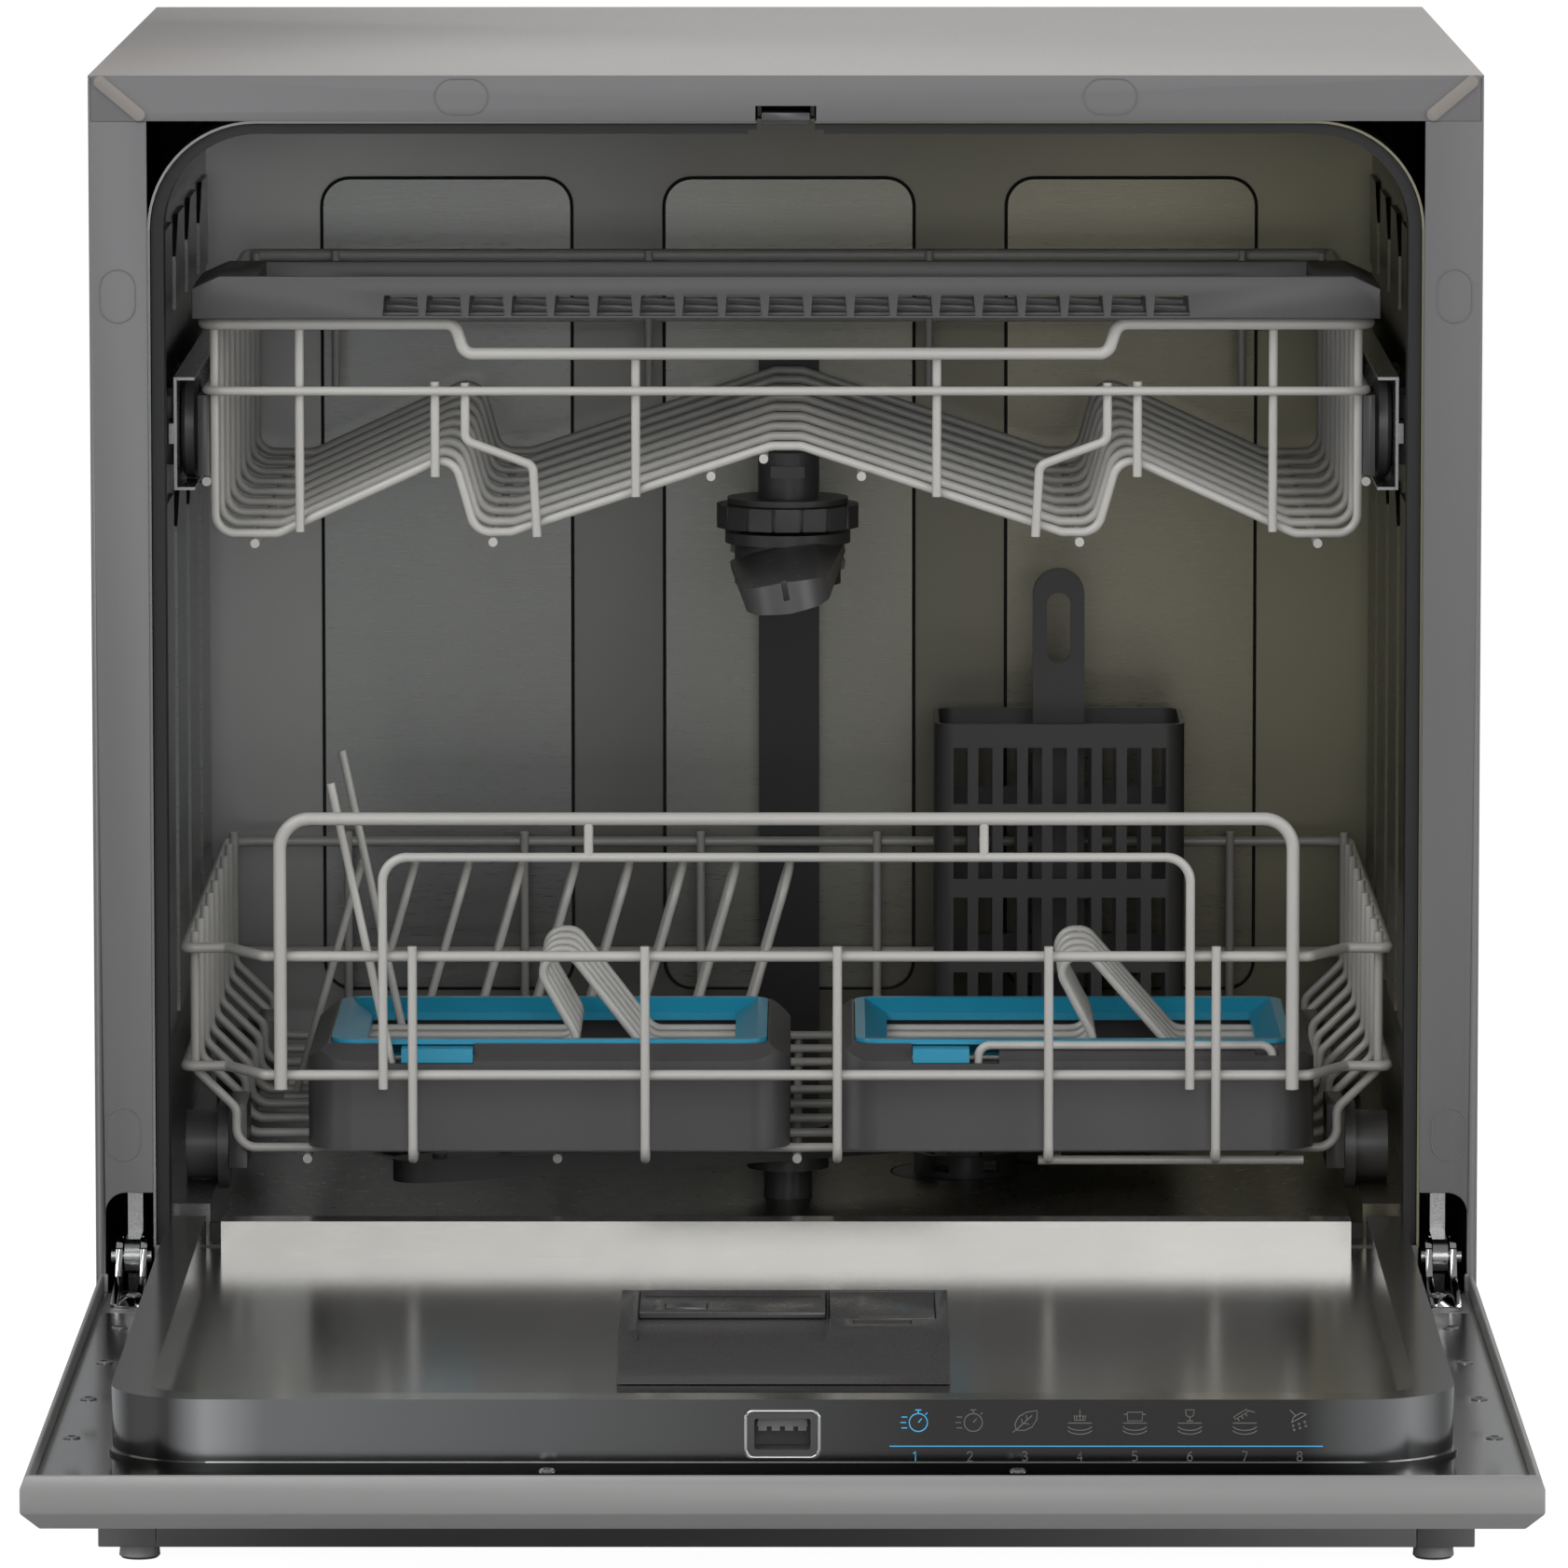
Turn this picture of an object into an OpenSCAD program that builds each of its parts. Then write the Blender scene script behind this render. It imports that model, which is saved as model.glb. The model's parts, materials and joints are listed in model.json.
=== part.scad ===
/* [Cabinet] */
// Width over the side panels
cabinet_w = 550; // [520:1:600]
// Height from the floor to the top panel
cabinet_h = 594; // [580:1:620]
// Depth from the front flange to the rear panel
cabinet_d = 500; // [480:1:540]
// Thickness of the painted steel panels
panel_t = 1.2; // [1:0.1:2]
// Width of the front flange on each side of the opening
flange_w = 23; // [20:0.5:28]
// Height of the front flange above the opening
top_flange_h = 18; // [15:0.5:22]
// Height of the feet under the plinth
foot_h = 6; // [5:0.5:10]
// Diameter of a foot
foot_d = 16.5; // [14:0.5:22]
// Height of the moulded base tray's rim above the floor
base_top = 80; // [70:1:85]
// Wall of the moulded base tray
base_wall = 2.5; // [2:0.1:3.5]

/* [Tub] */
// Thickness of the stainless steel tub
tub_t = 1; // [0.8:0.1:1.5]
// Radius of the upper corners of the tub
tub_r = 42; // [30:1:50]
// Inside of the back wall, behind the front flange
tub_back_y = 440; // [430:1:460]
// Height of the pressed panels in the walls
emboss = 2; // [1:0.1:2.5]
// Height of the tub floor at its lowest
tub_floor_z = 112; // [106:1:114]
// Width of the gap between the door liner and the tub
seal_w = 6; // [5:0.5:8]

/* [Door] */
// Height of the door's hinge axis above the floor
hinge_z = 123; // [120:0.5:126]
// Distance of the hinge axis behind the front flange
hinge_y = 4; // [3:0.5:6]
// Depth of the hinge axis above the door's rim plane
rim_drop = 6; // [5:0.5:7]
// Thickness of the door panel
door_t = 20.4; // [18:0.2:24]
// Bevel round the outside of the door panel
door_bevel = 6.6; // [4:0.2:8]
// Wall of the door panel at its rim
door_wall = 3.5; // [2.5:0.1:4]
// Height of the liner above the door's rim plane
liner_rise = 24; // [22:0.5:26]
// Depth of the liner's dished recess
liner_dish = 13; // [11:0.5:15]
// Width of the liner's flat rim
liner_rim = 14.4; // [13:0.1:16]
// Radius of the liner's front corners
liner_r = 36; // [20:1:40]
// Radius of the hinge pin
hinge_pin_r = 3; // [2.5:0.1:4]
// Width of the detergent dispenser
dispenser_w = 124; // [110:1:130]
// Length of the detergent dispenser
dispenser_l = 134; // [120:1:140]
// Distance from the hinge edge to the dispenser
dispenser_y = 201; // [180:1:220]

/* [Racks] */
// Distance from the front flange to the racks' front wires when stowed
rack_front_y = 38; // [36:0.5:44]
// Gap between the racks' rear wires and the tub's back wall
rack_rear_gap = 24; // [22:0.5:40]
// Number of U-shaped wires in each rack
u_wires = 9; // [7:1:11]
// Diameter of the racks' U-shaped wires
wire_d = 3.7; // [3:0.1:4.5]
// Diameter of the racks' rim wires
rim_d = 4.2; // [3.6:0.1:5]
// Diameter of the handle loop's wire
handle_d = 5.2; // [4.5:0.1:6]
// Depth by which crossing wires are welded into each other
weld = 0.4; // [0.3:0.05:0.6]
// Height of the lower rack's floor wires
lower_floor_z = 157; // [156:0.5:160]
// Height of the lower rack's lower rim
lower_rim_z = 191; // [188:0.5:200]
// Height of the lower rack's upper rim
lower_top_z = 239; // [225:0.5:250]
// Height of the handle loop's top
handle_z = 295; // [280:0.5:310]
// Diameter of the lower rack's wheels
wheel_d = 28; // [26:0.5:30]
// Diameter of the flange on the lower rack's wheels
wheel_flange_d = 35.7; // [33:0.1:37]
// Height of the upper rack's top rim
upper_top_z = 493; // [488:0.5:497]
// Height of the upper rack's middle rim
upper_mid_z = 466; // [462:0.5:470]
// Height of the upper rack's lowest wires
upper_floor_z = 408.5; // [404:0.5:412]
// Diameter of the upper rack's wheels
roller_d = 42; // [38:0.5:44]
// Width of the upper rack's wheels
roller_w = 6.5; // [5:0.5:7]
// Height of the cutlery tray
tray_h = 17; // [14:0.5:22]
// Depth of the cutlery tray from front to back
tray_l = 84; // [70:1:110]

/* [Spray arms] */
// Distance of the spray arms' axis behind the front flange
spray_y = 235; // [225:1:240]
// Reach of the lower spray arm
lower_spray_r = 178; // [150:1:180]
// Reach of the upper spray arm
upper_spray_r = 172; // [140:1:173]
// Diameter of the ribbed nut above the upper spray arm
nut_d = 60; // [50:1:64]
// Height of the ribbed nut
nut_h = 9.5; // [8:0.5:12]
// Width of the water duct on the back wall
duct_w = 26; // [22:1:32]

/* [Connections] */
// Radius of the water inlet's thread
inlet_r = 13.2; // [10:0.1:14]
// Length of the water inlet's thread
inlet_l = 14; // [12:0.5:20]
// Radius of the drain spigot
drain_r = 9; // [8:0.1:11]
// Length of the drain spigot
drain_l = 22; // [18:0.5:25]
// Radius of the bore for the power cord
cord_r = 4; // [3:0.1:5]

/* [Clearances] */
// Gap between pieces that pass each other closely
near_gap = 0.3; // [0.2:0.05:0.4]
// Radial running clearance of a shaft in its bore
run_gap = 0.05; // [0.02:0.01:0.08]
// Gap between the open door and the cabinet's front
door_gap = 2; // [1.5:0.1:3]

/* [Hidden] */
$fn = 48;

// Colours
greige = [0.66, 0.64, 0.615];
panel_grey = [0.45, 0.44, 0.45];
steel = [0.40, 0.40, 0.39];
bright_steel = [0.62, 0.63, 0.64];
chrome = [0.80, 0.81, 0.82];
rubber = [0.11, 0.11, 0.11];
dark_grey = [0.30, 0.285, 0.29];
wire_grey = [0.73, 0.72, 0.70];
insert_blue = [0.18, 0.62, 0.75];
board_green = [0.15, 0.35, 0.22];
motor_grey = [0.5, 0.5, 0.5];

// Cabinet
half_w = cabinet_w / 2;
open_x = half_w - flange_w;
open_z = cabinet_h - top_flange_h;
tub_x = open_x - tub_t;
tub_z = open_z - tub_t;
sheet_x = half_w - panel_t;
sheet_z = cabinet_h - panel_t;
rear_y = cabinet_d - panel_t;
slot_w = flange_w - 4;
slot_low = hinge_z - 19;
slot_high = hinge_z + 26;
tray_x = sheet_x - near_gap;
tray_front_y = panel_t + near_gap;
tray_rear_y = cabinet_d - 30;
tray_z = foot_h + 2;
foot_x = half_w - 16;
foot_front_y = 12;
foot_rear_y = tray_rear_y - 15;
inlet_x = half_w - 70;
drain_x = inlet_x - 50;
cord_x = inlet_x;
pipe_z = 46;

// Door, open and lying level
rim_z = hinge_z - rim_drop;
door_low_z = rim_z - door_t;
door_reach = cabinet_h - hinge_z - hinge_y;
door_rear_y = -door_gap;
liner_x = tub_x - seal_w;
liner_z = rim_z + liner_rise;
liner_front_y = -(tub_z - 5 - hinge_z - hinge_y);
liner_rear_y = -8;
dish_x = liner_x - liner_rim;
dish_z = liner_z - liner_dish;
liner_flange_z = rim_z - 7;
closed_liner_y = hinge_y + liner_z - hinge_z;
closed_low_z = hinge_z + hinge_y - liner_rear_y;
lock_w = 24;
lock_low = hinge_z - 2;
lock_high = hinge_z + 13;

// Door catch above the tub
catch_w = 19;
catch_y = 38;
catch_pin_r = 1.5;
catch_pin_z = open_z + 4.5;

// Tub floor, on which the lower rack's wheels roll at the height of the liner
ledge_z = liner_z;
ledge_front_y = closed_liner_y + 2;
sill_z = hinge_z + 5;
floor_side_z = tub_floor_z + 6;
floor_mid_x = 60;
floor_rail_low = floor_side_z + 4;

// Lower rack
rack_rear_y = tub_back_y - rack_rear_gap;
lower_rim_x = liner_x - 2.9;
lower_side_x = lower_rim_x - (rim_d + wire_d) / 2 + weld;
lower_foot_x = lower_side_x - 16.5;
knee_top_z = lower_rim_z - 2;
knee_low_z = knee_top_z - 16;
split_z = lower_floor_z + 12;
corner_y = rack_front_y + 28;
first_u_y = rack_front_y + 32;
last_u_y = rack_rear_y - 18;
u_step = (last_u_y - first_u_y) / (u_wires - 1);
beam_z = lower_floor_z - wire_d - run_gap;
front_wire_y = rack_front_y - (rim_d + wire_d) / 2 + weld;
handle_y = rack_front_y - (rim_d + handle_d) / 2 + weld;
handle_x = lower_rim_x - 39.6;
front_wires_x = [-149.7, -56.6, 20.4, 105, 172];
wheel_z = ledge_z + wheel_d / 2 + near_gap;
wheel_x = liner_x - 2;
wheel_w = 13;
wheel_flange_w = 4.4;
wheel_flange_x = wheel_x - wheel_w - wheel_flange_w;
axle_r = 4;
flange_way_x = wheel_flange_x - 1.6;
wheel_front_y = first_u_y + u_step / 2;
wheel_rear_y = last_u_y - 1.5 * u_step;

// Plate trays with their inserts
plate_tray_w = lower_foot_x - 28;
plate_tray_l = 150;
plate_tray_h = 42;
plate_tray_wall = 2.5;
shoulder_w = 8;
shoulder_h = 6;
plate_tray_z = lower_floor_z + wire_d / 2 + near_gap;
plate_tray_y = first_u_y - 22 + plate_tray_l / 2;
plate_tray_x = [plate_tray_w / 2 + 29.3 - lower_foot_x, lower_foot_x - 9.6 - plate_tray_w / 2];
insert_w = plate_tray_w - 18;
insert_l = plate_tray_l - 20;
insert_wall = 2;
insert_rise = 1.5;
funnel_w = 13;
funnel_h = 5;
insert_drop = 8.2;
notch_x = [-65, -30];
notch_h = 7;
flap_x = [[-59, -30.3], [-64.7, -42]];

// Combs of the trays: arches on raised rails, which stand on cross bars on the rack's floor
tine_d = 3.4;
base_z = beam_z + (wire_d + tine_d) / 2 + run_gap;
step_z = base_z + tine_d + run_gap;
long_z = lower_floor_z + (wire_d + tine_d) / 2 + run_gap;
comb_x = insert_w / 2 - 10;
comb_y = [plate_tray_y - 46, plate_tray_y + 48];
comb_z = plate_tray_z + plate_tray_h + insert_rise - insert_drop - near_gap - 1.5 * tine_d - run_gap;
arch_z = comb_z + tine_d + run_gap;
arch_step = u_step / 2;
arch_top_z = arch_z + 41;
tall_x = -56;
tall_lean = 31;
tall_top_z = handle_z + 12;
loop_x = [-38.4, 80];
loop_back = 5;

// Row of leaning tines behind the left tray, between which plates stand
lean = 16;
row_y = [first_u_y + 3.5 * u_step, first_u_y + 4.5 * u_step];
row_x = -25.7;
row_step = 22.3;
row_count = 9;
row_l = 96;

// Cutlery basket
basket_x = 115;
basket_w = 106;
basket_y = last_u_y - 33;
basket_l = 66;
basket_h = 140;

// Upper rack
upper_rim_d = 4.9;
upper_wire_d = 3.6;
upper_rim_x = liner_x - 13;
upper_side_x = upper_rim_x - 4;
upper_split_z = upper_floor_z + 12;
upper_rear_y = rack_rear_y - 8;
upper_vertical_y = rack_front_y + (upper_rim_d + upper_wire_d) / 2 - weld;
upper_mid_x = upper_side_x + upper_wire_d - weld;
upper_mid_y = upper_vertical_y - upper_wire_d + weld;
upper_first_y = upper_vertical_y + upper_wire_d - weld;
upper_last_y = upper_rear_y - upper_rim_d / 2 - upper_wire_d / 2 + weld;
upper_step = (upper_last_y - upper_first_y) / (u_wires - 1);
peak_z = upper_floor_z + 37;
front_bend = 8;
rear_bend = 4;
roller_x = upper_rim_x + upper_rim_d / 2 + 0.6;
roller_z = upper_mid_z - 16;
roller_pin_r = 5;
roller_front_y = upper_first_y + upper_step / 2;
roller_rear_y = upper_last_y - 1.5 * upper_step;
rail_t = 1.2;
rail_x = roller_x + roller_w + 0.6;
rail_inner_h = roller_d + 2 * near_gap;
rail_front_y = closed_liner_y + 5;
rail_rear_y = upper_rear_y + 14;
tongue_w = 2;
tongue_h = 8;
cutlery_z = upper_top_z + upper_rim_d / 2 + near_gap;
cutlery_x = upper_rim_x + 4;
cutlery_front_y = closed_liner_y + 4;
cutlery_wall = 2.5;

// Spray system
feed_z = upper_floor_z + 15.5;
feed_r = 11;
neck_r = 12.3;
disc_r = 25;
disc_t = 2.5;
nut_z = upper_floor_z - 15.5;
nut_flats = 16;
nut_bore_r = 16;
arm_pin_r = 6;
upper_arm_z = nut_z - 1.5;
upper_arm_h = 22;
duct_front_y = tub_back_y - emboss - 18;
dock_y = duct_front_y - 9;
riser_r = 10;
riser_top = tub_floor_z + 12;
lower_pin_r = 5;
filter_x = 75;
filter_y = spray_y + 70;
filter_r = 30;
salt_x = -150;
salt_y = tray_rear_y - 120;
salt_r = 28;

// Bends of a wire swell slightly and lap over the straight lengths between them
bend_swell = 0.12;
bend_lap = 0.4;

// Shift that puts the origin under the middle of the open appliance
front_y = (door_reach - cabinet_d) / 2;

module placed() {
    translate([0, front_y, 0]) children();
}

// Both signs of X, for pieces that come in left and right pairs
module both_sides() {
    children();
    mirror([1, 0, 0]) children();
}

// Rounded rectangle about its middle
module rounded(w, h, r) {
    square([w - 2 * r, h], center = true);
    square([w, h - 2 * r], center = true);
    for (x = [-1, 1], y = [-1, 1])
        translate([x * (w / 2 - r), y * (h / 2 - r)]) circle(r);
}

// Turns a plan shape drawn in X and Z into a plate that starts at y and runs back by t
module plate_y(y, t) {
    translate([0, y + t, 0]) rotate([90, 0, 0]) linear_extrude(t) children();
}

// Cylinder along X from x1 to x2
module bar_x(x1, x2, y, z, r) {
    translate([x1, y, z]) rotate([0, 90, 0]) cylinder(r = r, h = x2 - x1);
}

// Cylinder along Y from y1 to y2
module bar_y(y1, y2, x, z, r) {
    translate([x, y1, z]) rotate([-90, 0, 0]) cylinder(r = r, h = y2 - y1);
}

function unit(v) = v / norm(v);
function turn(p, i) = acos(min(1, max(-1, unit(p[i] - p[i - 1]) * unit(p[i + 1] - p[i]))));
function cut_back(p, i, r) = (i == 0 || i == len(p) - 1) ? 0 : r * tan(turn(p, i) / 2);

// Wire along a flat route in X and Y, with every corner bent to the radius bend
module wire(p, d, bend) {
    for (i = [0 : len(p) - 2]) {
        u = unit(p[i + 1] - p[i]);
        from = p[i] + u * (cut_back(p, i, bend) - (i == 0 ? 0 : bend_lap));
        to = p[i + 1] - u * (cut_back(p, i + 1, bend) - (i == len(p) - 2 ? 0 : bend_lap));
        translate([from.x, from.y, 0]) rotate([0, 0, atan2(u.y, u.x)])
            rotate([0, 90, 0]) cylinder(d = d, h = norm(to - from));
    }
    for (i = [1 : 1 : len(p) - 2]) wire_bend(p, i, d + bend_swell, bend);
}

module wire_bend(p, i, d, bend) {
    u = unit(p[i] - p[i - 1]);
    v = unit(p[i + 1] - p[i]);
    a = turn(p, i);
    middle = p[i] + unit(v - u) * bend / cos(a / 2);
    left = u.x * v.y - u.y * v.x > 0;
    start = (left ? p[i] - u * cut_back(p, i, bend) : p[i] + v * cut_back(p, i, bend)) - middle;
    translate([middle.x, middle.y, 0]) rotate([0, 0, atan2(start.y, start.x)])
        rotate_extrude(angle = a) translate([bend, 0]) circle(d = d);
}

// The same wire standing in the plane across the appliance at y
module wire_xz(y, p, d, bend) {
    translate([0, y, 0]) rotate([90, 0, 0]) wire(p, d, bend);
}

// The same wire standing in the plane from front to back at x
module wire_yz(x, p, d, bend) {
    translate([x, 0, 0]) rotate([90, 0, 90]) wire(p, d, bend);
}

// The same wire lying level at z
module wire_xy(z, p, d, bend) {
    translate([0, 0, z]) wire(p, d, bend);
}

// Route of a U-shaped wire's right half, mirrored to the left and joined
function mirrored(half) = concat(
    [for (i = [len(half) - 1 : -1 : 0]) [-half[i].x, half[i].y]], half);

module top_panel() {
    bar_l = norm([flange_w - 4, top_flange_h - 2]);
    color(greige) placed() {
        difference() {
            union() {
                translate([-half_w, 0, sheet_z]) cube([cabinet_w, cabinet_d, panel_t]);
                translate([-sheet_x, 0, open_z]) cube([2 * sheet_x, panel_t, top_flange_h - panel_t]);
            }
            translate([-12, -1, open_z - 1]) cube([24, panel_t + 2, 7]);
        }
        // Raised bars over the mitred corners of the flange
        both_sides() translate([open_x + 1, 0, open_z + 1])
            rotate([90, -atan2(top_flange_h - 2, flange_w - 4), 0])
                linear_extrude(door_gap * 0.6) {
                    translate([2.5, 0]) circle(2.5);
                    translate([bar_l - 2.5, 0]) circle(2.5);
                    translate([2.5, -2.5]) square([bar_l - 5, 5]);
                }
    }
}

module side_panels() {
    color(panel_grey) placed() both_sides() difference() {
        union() {
            translate([sheet_x, 0, foot_h]) cube([panel_t, cabinet_d, sheet_z - foot_h]);
            translate([open_x, 0, foot_h]) cube([sheet_x - open_x, panel_t, open_z - foot_h]);
            translate([open_x, panel_t, slot_high])
                cube([panel_t, 14, open_z - tub_r - slot_high]);
            translate([sheet_x - 12, rear_y - near_gap - panel_t, base_top + panel_t + near_gap])
                cube([12, panel_t, sheet_z - base_top - panel_t - near_gap]);
        }
        // Slot for the hinge, open towards the plinth and round at its outer upper corner
        plate_y(-1, panel_t + 2) {
            translate([open_x - 1, slot_low]) square([slot_w + 1 - 8, slot_high - slot_low]);
            translate([open_x - 1, slot_low]) square([slot_w + 1, slot_high - slot_low - 8]);
            translate([open_x + slot_w - 8, slot_high - 8]) circle(8);
        }
    }
}

module rear_panel() {
    color(panel_grey) placed() difference() {
        union() {
            translate([-tray_x, rear_y, base_top]) cube([2 * tray_x, panel_t, sheet_z - near_gap - base_top]);
            translate([-tray_x, tray_rear_y + 1, base_top])
                cube([2 * tray_x, rear_y - tray_rear_y - 1, panel_t]);
        }
        // Two rows of cooling slots low in the sheet
        for (i = [-4 : 4], j = [0, 1]) translate([i * 26, rear_y - 1, base_top + 22 + j * 16])
            rotate([-90, 0, 0]) linear_extrude(panel_t + 2) rounded(18, 5, 2.4);
    }
}

module plinth() {
    color(panel_grey) placed() {
        x = open_x - near_gap;
        low_x = foot_x - foot_d / 2 - near_gap;
        translate([-x, 0, foot_h]) cube([2 * x, panel_t, sill_z - foot_h]);
        translate([-low_x, 0, foot_h]) cube([2 * low_x, 22, panel_t]);
        translate([-x, 0, sill_z - tub_t - panel_t]) cube([2 * x, 14, panel_t]);
    }
}

module base_tray() {
    color(dark_grey) placed() difference() {
        union() {
            difference() {
                translate([-tray_x, 24, tray_z]) cube([2 * tray_x, tray_rear_y - 24, base_top - tray_z]);
                translate([base_wall - tray_x, 24 + base_wall, tray_z + base_wall])
                    cube([2 * (tray_x - base_wall), tray_rear_y - 24 - 2 * base_wall, base_top]);
            }
            // Front apron that carries the front feet behind the plinth
            translate([-tray_x, tray_front_y, tray_z]) cube([2 * tray_x, 24 - tray_front_y + base_wall, base_wall]);
            // Stiffening ribs under the floor
            for (x = [-191, -173, -157, 157, 173, 191])
                translate([x - 1, 30, foot_h + 0.5]) cube([2, tray_rear_y - 60, tray_z - foot_h]);
        }
        // Holes for the rear connections
        connection_hole(-inlet_x, inlet_r + 1);
        connection_hole(-drain_x, drain_r + 1);
        connection_hole(cord_x, cord_r + 5 + near_gap);
    }
}

module connection_hole(x, r) {
    bar_y(tray_rear_y - base_wall - 1, tray_rear_y + 1, x, 46, r);
}

module feet() {
    color(rubber) placed() for (x = [-foot_x, foot_x], y = [foot_front_y, foot_rear_y])
        translate([x, y, 0]) rotate_extrude()
            polygon([[0, 0], [foot_d / 2 - 1, 0], [foot_d / 2, 1], [foot_d / 2 - 0.6, tray_z], [0, tray_z]]);
}

module tub_ceiling() {
    x = open_x - tub_r - tub_t;
    z = tub_z - tub_r;
    color(steel) placed() {
        difference() {
            plate_y(panel_t, tub_back_y - panel_t) {
                translate([-x, tub_z]) square([2 * x, tub_t]);
                for (s = [-1, 1]) translate([s * x, z]) intersection() {
                    difference() {
                        circle(tub_r + tub_t);
                        circle(tub_r);
                    }
                    translate([s > 0 ? 0 : -100, 0]) square(100);
                }
            }
            translate([-catch_w / 2 - 2, 0, tub_z - 1]) cube([catch_w + 4, 14, tub_t + 2]);
        }
        // Ears with the pin that the door catch turns on
        both_sides() translate([catch_w / 2 + near_gap, catch_y - 4, open_z]) cube([1.5, 8, catch_pin_z - open_z + 3]);
        bar_x(-catch_w / 2 - 1, catch_w / 2 + 1, catch_y, catch_pin_z, catch_pin_r);
    }
}

module tub_sides() {
    z = tub_z - tub_r;
    color(steel) placed() both_sides() {
        translate([tub_x, panel_t, sill_z]) cube([tub_t, ledge_front_y - panel_t, z - sill_z]);
        translate([tub_x, ledge_front_y, ledge_z]) cube([tub_t, tub_back_y - ledge_front_y, z - ledge_z]);
        // Pressed panels, with slanted tops, above and below the upper rack's rails
        for (i = [0 : 3]) translate([tub_x - emboss, 60 + i * 95, 0]) {
            wall_panel(roller_z + rail_inner_h / 2 + 18, z - 6);
            wall_panel(ledge_z + 60, roller_z - rail_inner_h / 2 - 12);
        }
    }
}

// Pressed panel of a side wall from z1 to z2, its upper front corner cut off at a slant
module wall_panel(z1, z2) {
    rotate([90, 0, 90]) linear_extrude(emboss) polygon([[0, z1], [70, z1], [70, z2], [22, z2], [0, z2 - 16]]);
}

module tub_back() {
    color(steel) placed() {
        plate_y(tub_back_y, tub_t) {
            translate([-open_x, tub_floor_z - tub_t]) square([2 * open_x, open_z - tub_r - tub_floor_z]);
            translate([-open_x + tub_r, tub_floor_z]) square([2 * (open_x - tub_r), open_z - tub_floor_z]);
            for (s = [-1, 1]) translate([s * (open_x - tub_r - tub_t), tub_z - tub_r]) circle(tub_r + tub_t);
        }
        // Three pressed panels with rounded corners
        for (x = [-147.3, 0, 147.3]) translate([x, 0, 0]) plate_y(tub_back_y - emboss, emboss)
            translate([0, (tub_z - 51 + ledge_z + 30) / 2]) rounded(107.5, tub_z - 51 - ledge_z - 30, 12);
    }
}

module tub_floor() {
    low = floor_rail_low - run_gap;
    half = [[floor_mid_x, tub_floor_z], [dish_x, floor_side_z], [dish_x, low], [dish_x + tub_t, low]];
    under = [[dish_x + tub_t, floor_side_z - tub_t], [floor_mid_x, tub_floor_z - tub_t]];
    wall_x = dish_x - run_gap;
    color(steel) placed() {
        difference() {
            union() {
                plate_y(ledge_front_y, tub_back_y - ledge_front_y)
                    polygon(concat(mirrored(concat(half, [under[0]])), [under[1], [-under[1].x, under[1].y]]));
                // Front wall up to the sill, with the sill's sheet before it
                plate_y(ledge_front_y, tub_t)
                    polygon(mirrored([under[1], [wall_x, floor_side_z - tub_t], [wall_x, sill_z]]));
                translate([-wall_x, panel_t, sill_z - tub_t])
                    cube([2 * wall_x, ledge_front_y - panel_t + tub_t, tub_t]);
            }
            translate([filter_x, filter_y, 0]) cylinder(r = filter_r + 2, h = ledge_z);
            translate([0, spray_y, 0]) cylinder(r = riser_r + near_gap, h = ledge_z);
            translate([salt_x, salt_y, 0]) cylinder(r = salt_r + 2, h = ledge_z);
        }
        // Rails that the lower rack's wheels roll on, folded down along the trough
        both_sides() {
            plate_y(ledge_front_y, tub_back_y - ledge_front_y)
                polygon([[dish_x, floor_rail_low], [dish_x, ledge_z], [open_x, ledge_z], [open_x, ledge_z - tub_t],
                    [dish_x + tub_t, ledge_z - tub_t], [dish_x + tub_t, floor_rail_low]]);
            translate([dish_x, panel_t, sill_z - tub_t]) cube([open_x - dish_x, ledge_front_y - panel_t, tub_t]);
            translate([dish_x, ledge_front_y, sill_z - tub_t]) cube([open_x - dish_x, tub_t, ledge_z - sill_z + tub_t]);
        }
    }
}

module door_gasket() {
    inner_x = liner_x + 0.8;
    inner_z = tub_z - 4.2;
    low_z = sill_z + near_gap;
    r = tub_r - 4.2;
    color(rubber) placed() {
        plate_y(3, 17) difference() {
            union() {
                translate([near_gap - tub_x, low_z]) square([2 * (tub_x - near_gap), tub_z - tub_r - low_z]);
                translate([tub_r - tub_x, low_z]) square([2 * (tub_x - tub_r), tub_z - near_gap - low_z]);
                for (s = [-1, 1]) translate([s * (tub_x - tub_r), tub_z - tub_r]) circle(tub_r - near_gap);
            }
            translate([-inner_x, low_z - 1]) square([2 * inner_x, inner_z - r - low_z + 1]);
            translate([r - inner_x, low_z - 1]) square([2 * (inner_x - r), inner_z - low_z + 1]);
            for (s = [-1, 1]) translate([s * (inner_x - r), inner_z - r]) circle(r);
            // Notch for the latch bezel, and above it the one that the catch's nose swings in
            translate([-lock_w / 2 - 3, inner_z - 1]) square([lock_w + 6, 2.6]);
            translate([-catch_w / 2 - 2, inner_z + 1.5]) square([catch_w + 4, 10]);
        }
        // Lip along the sill, under the closed door's lower edge
        translate([-dish_x, ledge_front_y - 6, sill_z]) cube([2 * dish_x, 5, closed_low_z - 1 - sill_z]);
    }
}

// Spring catch in the top flange that drops into the latch of the closed door
module door_catch() {
    x = catch_w / 2;
    color(dark_grey) placed() difference() {
        union() {
            translate([-x, -0.8, open_z + near_gap]) cube([catch_w, catch_y + 0.8, 3]);
            translate([-x, 4, tub_z - 0.6]) cube([catch_w, 6, 3]);
            bar_x(-x, x, catch_y, catch_pin_z, catch_pin_r + 2.2);
        }
        bar_x(-x - 1, x + 1, catch_y, catch_pin_z, catch_pin_r + run_gap);
    }
}

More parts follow.
